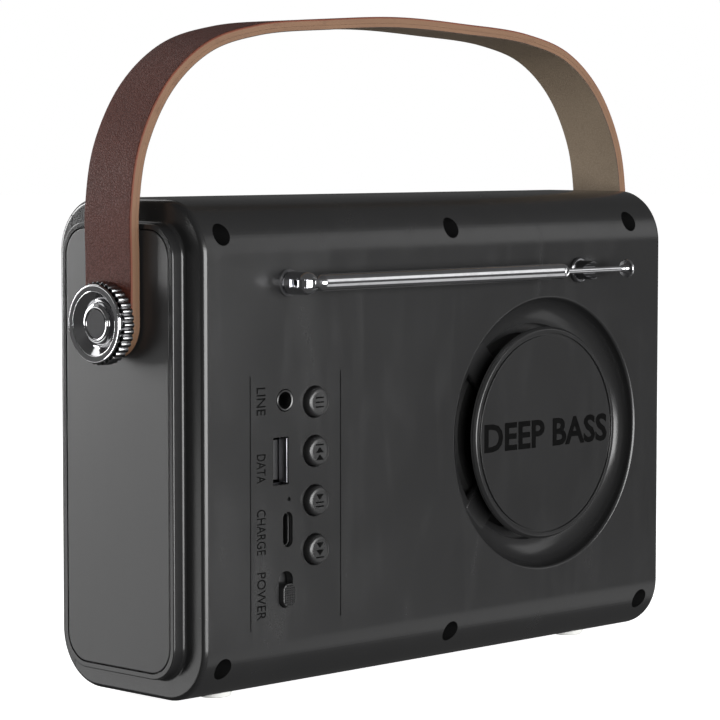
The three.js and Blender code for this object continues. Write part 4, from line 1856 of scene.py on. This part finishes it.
    def ribbed_grip(self) -> Mesh:
        """The ribbed wheel between the strap and the knob's face.

        Returns:
            The closed mesh.
        """
        root, rise, start, end = 10.85, 0.66, 105.0, 108.35
        wheel = cylinder(
            root, end - start, self.ribs * 8,
            Matrix.Translation(((start + end) / 2, 0, self.axis_z))
            @ Matrix.Rotation(math.radians(90), 4, "Y"),
        )
        for vert in wheel.verts:
            out = Vector((0, vert.co.y, vert.co.z - self.axis_z))
            angle = math.atan2(out.z, out.y)
            out.length = root + rise * abs(math.cos(angle * self.ribs / 2)) ** 0.7
            vert.co = (vert.co.x, out.y, out.z + self.axis_z)
        bevel(wheel, edges_in_plane(wheel, Axis.X, end), 0.22, 2)
        cap = max(wheel.faces, key=lambda face: face.calc_center_median().x)
        bmesh.ops.inset_region(wheel, faces=[cap], thickness=1.5)
        bmesh.ops.translate(wheel, vec=(-2.4, 0, 0), verts=cap.verts)
        return wheel

    def build_knob(self, side: str) -> None:
        """One knob: its ribbed grip, dished face, boss and centre disc.

        Args:
            side: left or right.
        """
        mirrored = side == "left"
        body = f"knob_{side}"
        centre = (0.0, self.axis_z)
        face = self.face_x
        grip = self.ribbed_grip()
        # The grip uses the darker copy of the knob chrome: painted shade on the ribs.
        self.maker.piece(
            f"knob_grip_{side}", grip, GRIP_PAINTED_SHADE_CHROME, "chrome", body=body, mirrored=mirrored,
            crease=50.0, weighted=False,
        )
        disc = turned([
            (0, 106.4), (8.6, 106.4), (9.3, 108.3), (10.1, 108.3), (10.7, 108.75), (10.85, 109.35),
            (10.7, face - 0.1), (10.52, face), (10.3, face - 0.05), (9.0, face - 0.1),
            (8.85, face - 0.02), (8.6, face - 0.2), (7.6, face - 1.0), (6.7, face - 1.75),
            (6.2, face - 2.3), (5.85, face - 2.35), (5.6, face - 1.7), (5.45, face - 1.1),
            (5.3, face - 0.95), (5.0, face - 0.9), (4.85, face - 0.66), (4.6, face - 0.6),
            (4.3, face - 0.66), (4.12, face - 0.85), (4.05, face - 1.0), (0, face - 1.0),
        ], Axis.X, centre, 96, 0.12)
        self.maker.piece(
            f"knob_face_{side}", disc, KNOB_CHROME, "chrome", [f"knob_{side}"], body,
            mirrored=mirrored, crease=60.0, weighted=False,
        )
        ring = turned([
            (9.04, face - 0.3), (10.3, face - 0.3), (10.3, face + 0.0), (9.04, face - 0.02),
            (9.04, face - 0.3),
        ], Axis.X, centre, 96)
        self.maker.piece(
            f"knob_ring_{side}", ring, BADGE, "badge_grey", body=body, mirrored=mirrored,
            chamfer=0.05,
        )
        badge = turned([
            (0, face - 1.4), (3.98, face - 1.4), (3.98, face - 0.9), (3.85, face - 0.8),
            (0, face - 0.8),
        ], Axis.X, centre, 64)
        self.maker.piece(
            f"knob_disc_{side}", badge, BADGE, "badge_grey", [f"knob_badge_{side}"], body,
            mirrored=mirrored,
        )

    def build(self) -> None:
        """Builds the strap, its lining and both knobs."""
        outer = self.layer(0.0, self.leather, 0.5, 0)
        self.maker.piece(
            "strap_outer", outer, [STRAP_HIDE, TAN_EDGE, BURNISHED], "strap_leather",
            ["handle_strap"], "handle", crease=50.0,
        )
        inner = self.layer(self.leather + 0.04, self.leather + self.lining, 0.22, 1)
        self.maker.piece(
            "strap_inner", inner, [LINING_HIDE, TAN_EDGE, DARK_EDGE], "strap_lining",
            ["handle_lining"], "handle", crease=50.0,
        )
        for side in ("left", "right"):
            self.build_knob(side)


# The front


@dataclass
class FrontPanel:
    """The perforated grille and the display window."""

    maker: Maker
    pitch: float = 3.0
    margin: float = 6.0
    rim: float = 2.2
    sheet: float = 0.8
    plate: Seat = field(default_factory=lambda: Seat.of("front_grille"))
    window: Seat = field(default_factory=lambda: Seat.of("display_window"))

    def field_box(self) -> tuple[float, float, float, float]:
        """Low X, low Z, high X and high Z of the perforated field, a whole number of holes.

        Returns:
            The four numbers.
        """
        mid_z = self.plate.middle.z
        columns = 2 * int((self.plate.size.x / 2 - self.margin) / self.pitch)
        rows = 2 * int((self.plate.size.z / 2 - self.margin) / self.pitch)
        half_x, half_z = columns * self.pitch / 2, rows * self.pitch / 2
        return -half_x, mid_z - half_z, half_x, mid_z + half_z

    def build_frame(self) -> None:
        """The grille's plain border with its rounded corners."""
        low_x, low_z, high_x, high_z = self.field_box()
        border = prism(self.plate.low, self.plate.high, Axis.Y, 8.7, 0, 12)
        border = boolean(border, prism((low_x, BEFORE_FRONT, low_z), (high_x, 0, high_z), Axis.Y, 0))
        self.maker.piece(
            "grille_border", border, GRILLE_PAINT, "grille_steel", ["front_grille"], chamfer=0.15,
        )

    def build_sheet(self) -> None:
        """The perforated field: a grid whose cells are inset, rounded and opened."""
        low_x, low_z, high_x, high_z = self.field_box()
        columns = round((high_x - low_x) / self.pitch)
        rows = round((high_z - low_z) / self.pitch)
        sheet = bmesh.new()
        bmesh.ops.create_grid(sheet, x_segments=columns, y_segments=rows, size=0.5)
        sheet.transform(
            Matrix.Translation((0, self.plate.low.y, (low_z + high_z) / 2))
            @ Matrix.Rotation(math.radians(90), 4, "X")
            @ Matrix.Diagonal((high_x - low_x, high_z - low_z, 1.0, 1.0)),
        )
        keep = self.window.size / 2 + Vector((self.rim - 0.6,) * 3)
        middle = self.window.middle
        behind = [
            face for face in sheet.faces
            if abs(face.calc_center_median().x - middle.x) < keep.x
            and abs(face.calc_center_median().z - middle.z) < keep.z
        ]
        bmesh.ops.delete(sheet, geom=behind, context="FACES")
        bmesh.ops.inset_individual(sheet, faces=sheet.faces[:], thickness=0.55)
        limit = (self.pitch * 0.5) ** 2
        holes = [face for face in sheet.faces if face.calc_area() > limit]
        corners = list({vert for face in holes for vert in face.verts})
        bmesh.ops.bevel(
            sheet, geom=corners, offset=0.55, offset_type="OFFSET", affect="VERTICES",
            segments=1, profile=0.5, material=-1,
        )
        holes = [face for face in sheet.faces if len(face.verts) == 8]
        bmesh.ops.delete(sheet, geom=holes, context="FACES")
        bmesh.ops.recalc_face_normals(sheet, faces=sheet.faces)
        made = self.maker.piece("grille_sheet", sheet, GRILLE_PAINT, "grille_steel", weighted=False)
        thick = made.modifiers.new("thickness", "SOLIDIFY")
        thick.thickness = self.sheet * MM
        thick.offset = 0

    def build_display(self) -> None:
        """The display's rim, its window and its lit figures."""
        low, high = self.window.low, self.window.high
        front = self.plate.low.y
        rim = prism(
            (low.x - self.rim, front - 0.5, low.z - self.rim),
            (high.x + self.rim, front + 0.6, high.z + self.rim), Axis.Y, 4.2, 0.4, 10, (0,),
        )
        rim = boolean(rim, prism(
            (low.x, BEFORE_FRONT, low.z), (high.x, 0, high.z), Axis.Y, 2.5, 0, 8,
        ))
        self.maker.piece("display_rim", rim, GRILLE_PAINT, "grille_steel", chamfer=0.12)
        glass = prism(
            (low.x + 0.1, front - 0.2, low.z + 0.1), (high.x - 0.1, high.y, high.z - 0.1),
            Axis.Y, 2.4, 0.15, 8, (0,),
        )
        self.maker.piece("display_glass_pane", glass, WINDOW, "dark_glass", ["display_window"])
        figures = lettering(
            "98.5", 7.0, (self.window.middle.x, front - 0.22, self.window.middle.z), (1, 0, 0),
            (0, 0, 1), 0.04,
        )
        self.maker.piece("display_figures", figures, LIT_INK, "dark_glass", weighted=False)

    def build(self) -> None:
        """Builds the front."""
        self.build_frame()
        self.build_sheet()
        self.build_display()


# The inside


@dataclass
class Insides:
    """The CAD pieces inside the case, which keep their shapes and get their finishes."""

    maker: Maker
    finishes: dict[str, Finish] = field(default_factory=lambda: {
        "front_baffle": DEEP_BLACK,
        "display_module": BOARD,
        "driver_basket_left": SCREW_STEEL,
        "driver_basket_right": SCREW_STEEL,
        "driver_cone_left": ROLL_RUBBER,
        "driver_cone_right": ROLL_RUBBER,
        # The magnets' steel is darkened: painted shade inside the case.
        "driver_magnet_left": PAINTED_SHADE_STEEL,
        "driver_magnet_right": PAINTED_SHADE_STEEL,
        "battery_pack": WRAP,
        "main_board": BOARD,
        "control_board": BOARD,
        "button_bracket": DEEP_BLACK,
        "handle_bolt_left": ZINC,
        "handle_bolt_right": ZINC,
    })

    def build(self) -> None:
        """Gives each piece its finish."""
        for node, finish in self.finishes.items():
            self.maker.dress_node(node, finish)


# Studio


@dataclass(frozen=True)
class Softbox:
    """A rectangular studio light aimed at the radio."""

    name: str
    place: Triple
    wide: float
    tall: float
    watts: float


@dataclass
class Studio:
    """The floor, the background, the lights and the camera."""

    azimuth: float = 134.865
    elevation: float = 4.191
    distance: float = 0.89965
    lens: float = 149.97
    aside: float = -0.004638
    above: float = 0.019321
    room_light: float = 0.12
    boxes: tuple[Softbox, ...] = (
        Softbox("key_box", (0.12, 1.62, 0.14), 2.25, 0.85, 58.0),
        Softbox("side_box", (0.7, -1.45, 0.32), 0.45, 0.7, 19.0),
        Softbox("side_low", (1.04, -1.12, -0.38), 1.0, 0.6, 3.6),
        Softbox("back_high", (-1.2, 0.94, 0.58), 0.56, 0.67, 1.2),
        Softbox("back_low", (-1.19, 0.83, -0.59), 0.8, 0.6, 0.9),
        Softbox("front_fill", (0.1, -1.2, 1.1), 1.1, 0.8, 5.5),
        Softbox("far_fill", (-1.55, -0.15, -0.3), 0.7, 0.6, 3.0),
    )

    def build_floor(self) -> None:
        """A pale floor that runs well past the view."""
        floor = bmesh.new()
        bmesh.ops.create_grid(floor, x_segments=1, y_segments=1, size=6.0)
        data = bpy.data.meshes.new("floor")
        floor.to_mesh(data)
        floor.free()
        made = stood("floor", data)
        shader = Shader(bpy.data.materials.new("floor_paper"))
        drift = shader.noise(shader.place(), 1.5, 2.0)
        data.materials.append(shader.dress(
            Base_Color=shader.mix(drift, (0.86, 0.86, 0.86), (0.88, 0.88, 0.88)),
            Roughness=0.9,
            Emission_Color=(1.0, 1.0, 1.0),
            Emission_Strength=0.95,
        ))
        made.visible_glossy = False
        made.visible_diffuse = False
        made.visible_shadow = False

    def build_world(self) -> None:
        """White to the camera, and a soft studio gradient to everything else."""
        world = bpy.data.worlds.new("studio")
        bpy.context.scene.world = world
        sky = Shader(world)
        place = sky.node("ShaderNodeTexCoord", output="Generated")
        height = sky.node("ShaderNodeSeparateXYZ", inputs={0: place}, output="Z")
        glow = sky.ramp(height, [(0.0, 0.6), (0.3, 1.0), (0.55, 1.0), (0.8, 0.6)])
        room = sky.node("ShaderNodeBackground", inputs={"Color": glow, "Strength": self.room_light})
        backdrop = sky.node("ShaderNodeBackground", inputs={"Color": (1.0, 1.0, 1.0, 1.0)})
        seen = sky.node("ShaderNodeLightPath", output="Is Camera Ray")
        both = sky.node("ShaderNodeMixShader", inputs={0: seen, 1: room, 2: backdrop})
        sky.node("ShaderNodeOutputWorld", inputs={0: both})

    def build_lights(self) -> None:
        """Large soft lights that face the middle of the radio."""
        low, high = (Vector(corner) for corner in CAD_BOX)
        middle = (low + high) / 2
        for box in self.boxes:
            light = bpy.data.lights.new(box.name, "AREA")
            light.shape = "RECTANGLE"
            light.size, light.size_y = box.wide, box.tall
            light.energy = box.watts
            made = stood(box.name, light)
            made.location = box.place
            made.rotation_euler = (middle - Vector(box.place)).to_track_quat("-Z", "Y").to_euler()

    def build_camera(self) -> None:
        """A long lens behind the radio and to one side."""
        azimuth, elevation = math.radians(self.azimuth), math.radians(self.elevation)
        back = Vector((
            math.sin(azimuth) * math.cos(elevation), -math.cos(azimuth) * math.cos(elevation),
            math.sin(elevation),
        ))
        right = Vector((0, 0, 1)).cross(back).normalized()
        up = back.cross(right)
        shell = Seat.of("rear_shell")
        aim = TO_ROW @ Vector((0, 0, shell.size.z / 2)) + right * self.aside + up * self.above
        camera = bpy.data.cameras.new("camera")
        camera.lens = self.lens
        camera.clip_start, camera.clip_end = 0.05, 30.0
        made = stood("camera", camera)
        made.location = aim + back * self.distance
        made.rotation_euler = (-back).to_track_quat("-Z", "Y").to_euler()
        bpy.context.scene.camera = made

    def build(self) -> None:
        """Builds the studio."""
        bpy.context.scene.view_settings.view_transform = "Standard"
        self.build_floor()
        self.build_world()
        self.build_lights()
        self.build_camera()


def main() -> None:
    """Builds the radio's looks, sub-assembly by sub-assembly, and the studio round it."""
    logging.basicConfig(level=logging.INFO, format="%(name)s: %(message)s")
    Studio().build()
    maker = Maker()
    for section in (Case, BassRadiator, ControlColumn, Antenna, CarryingStrap, FrontPanel, Insides):
        section(maker).build()
    LOG.info("%d pieces made", maker.count)


if __name__ == "__main__":
    main()
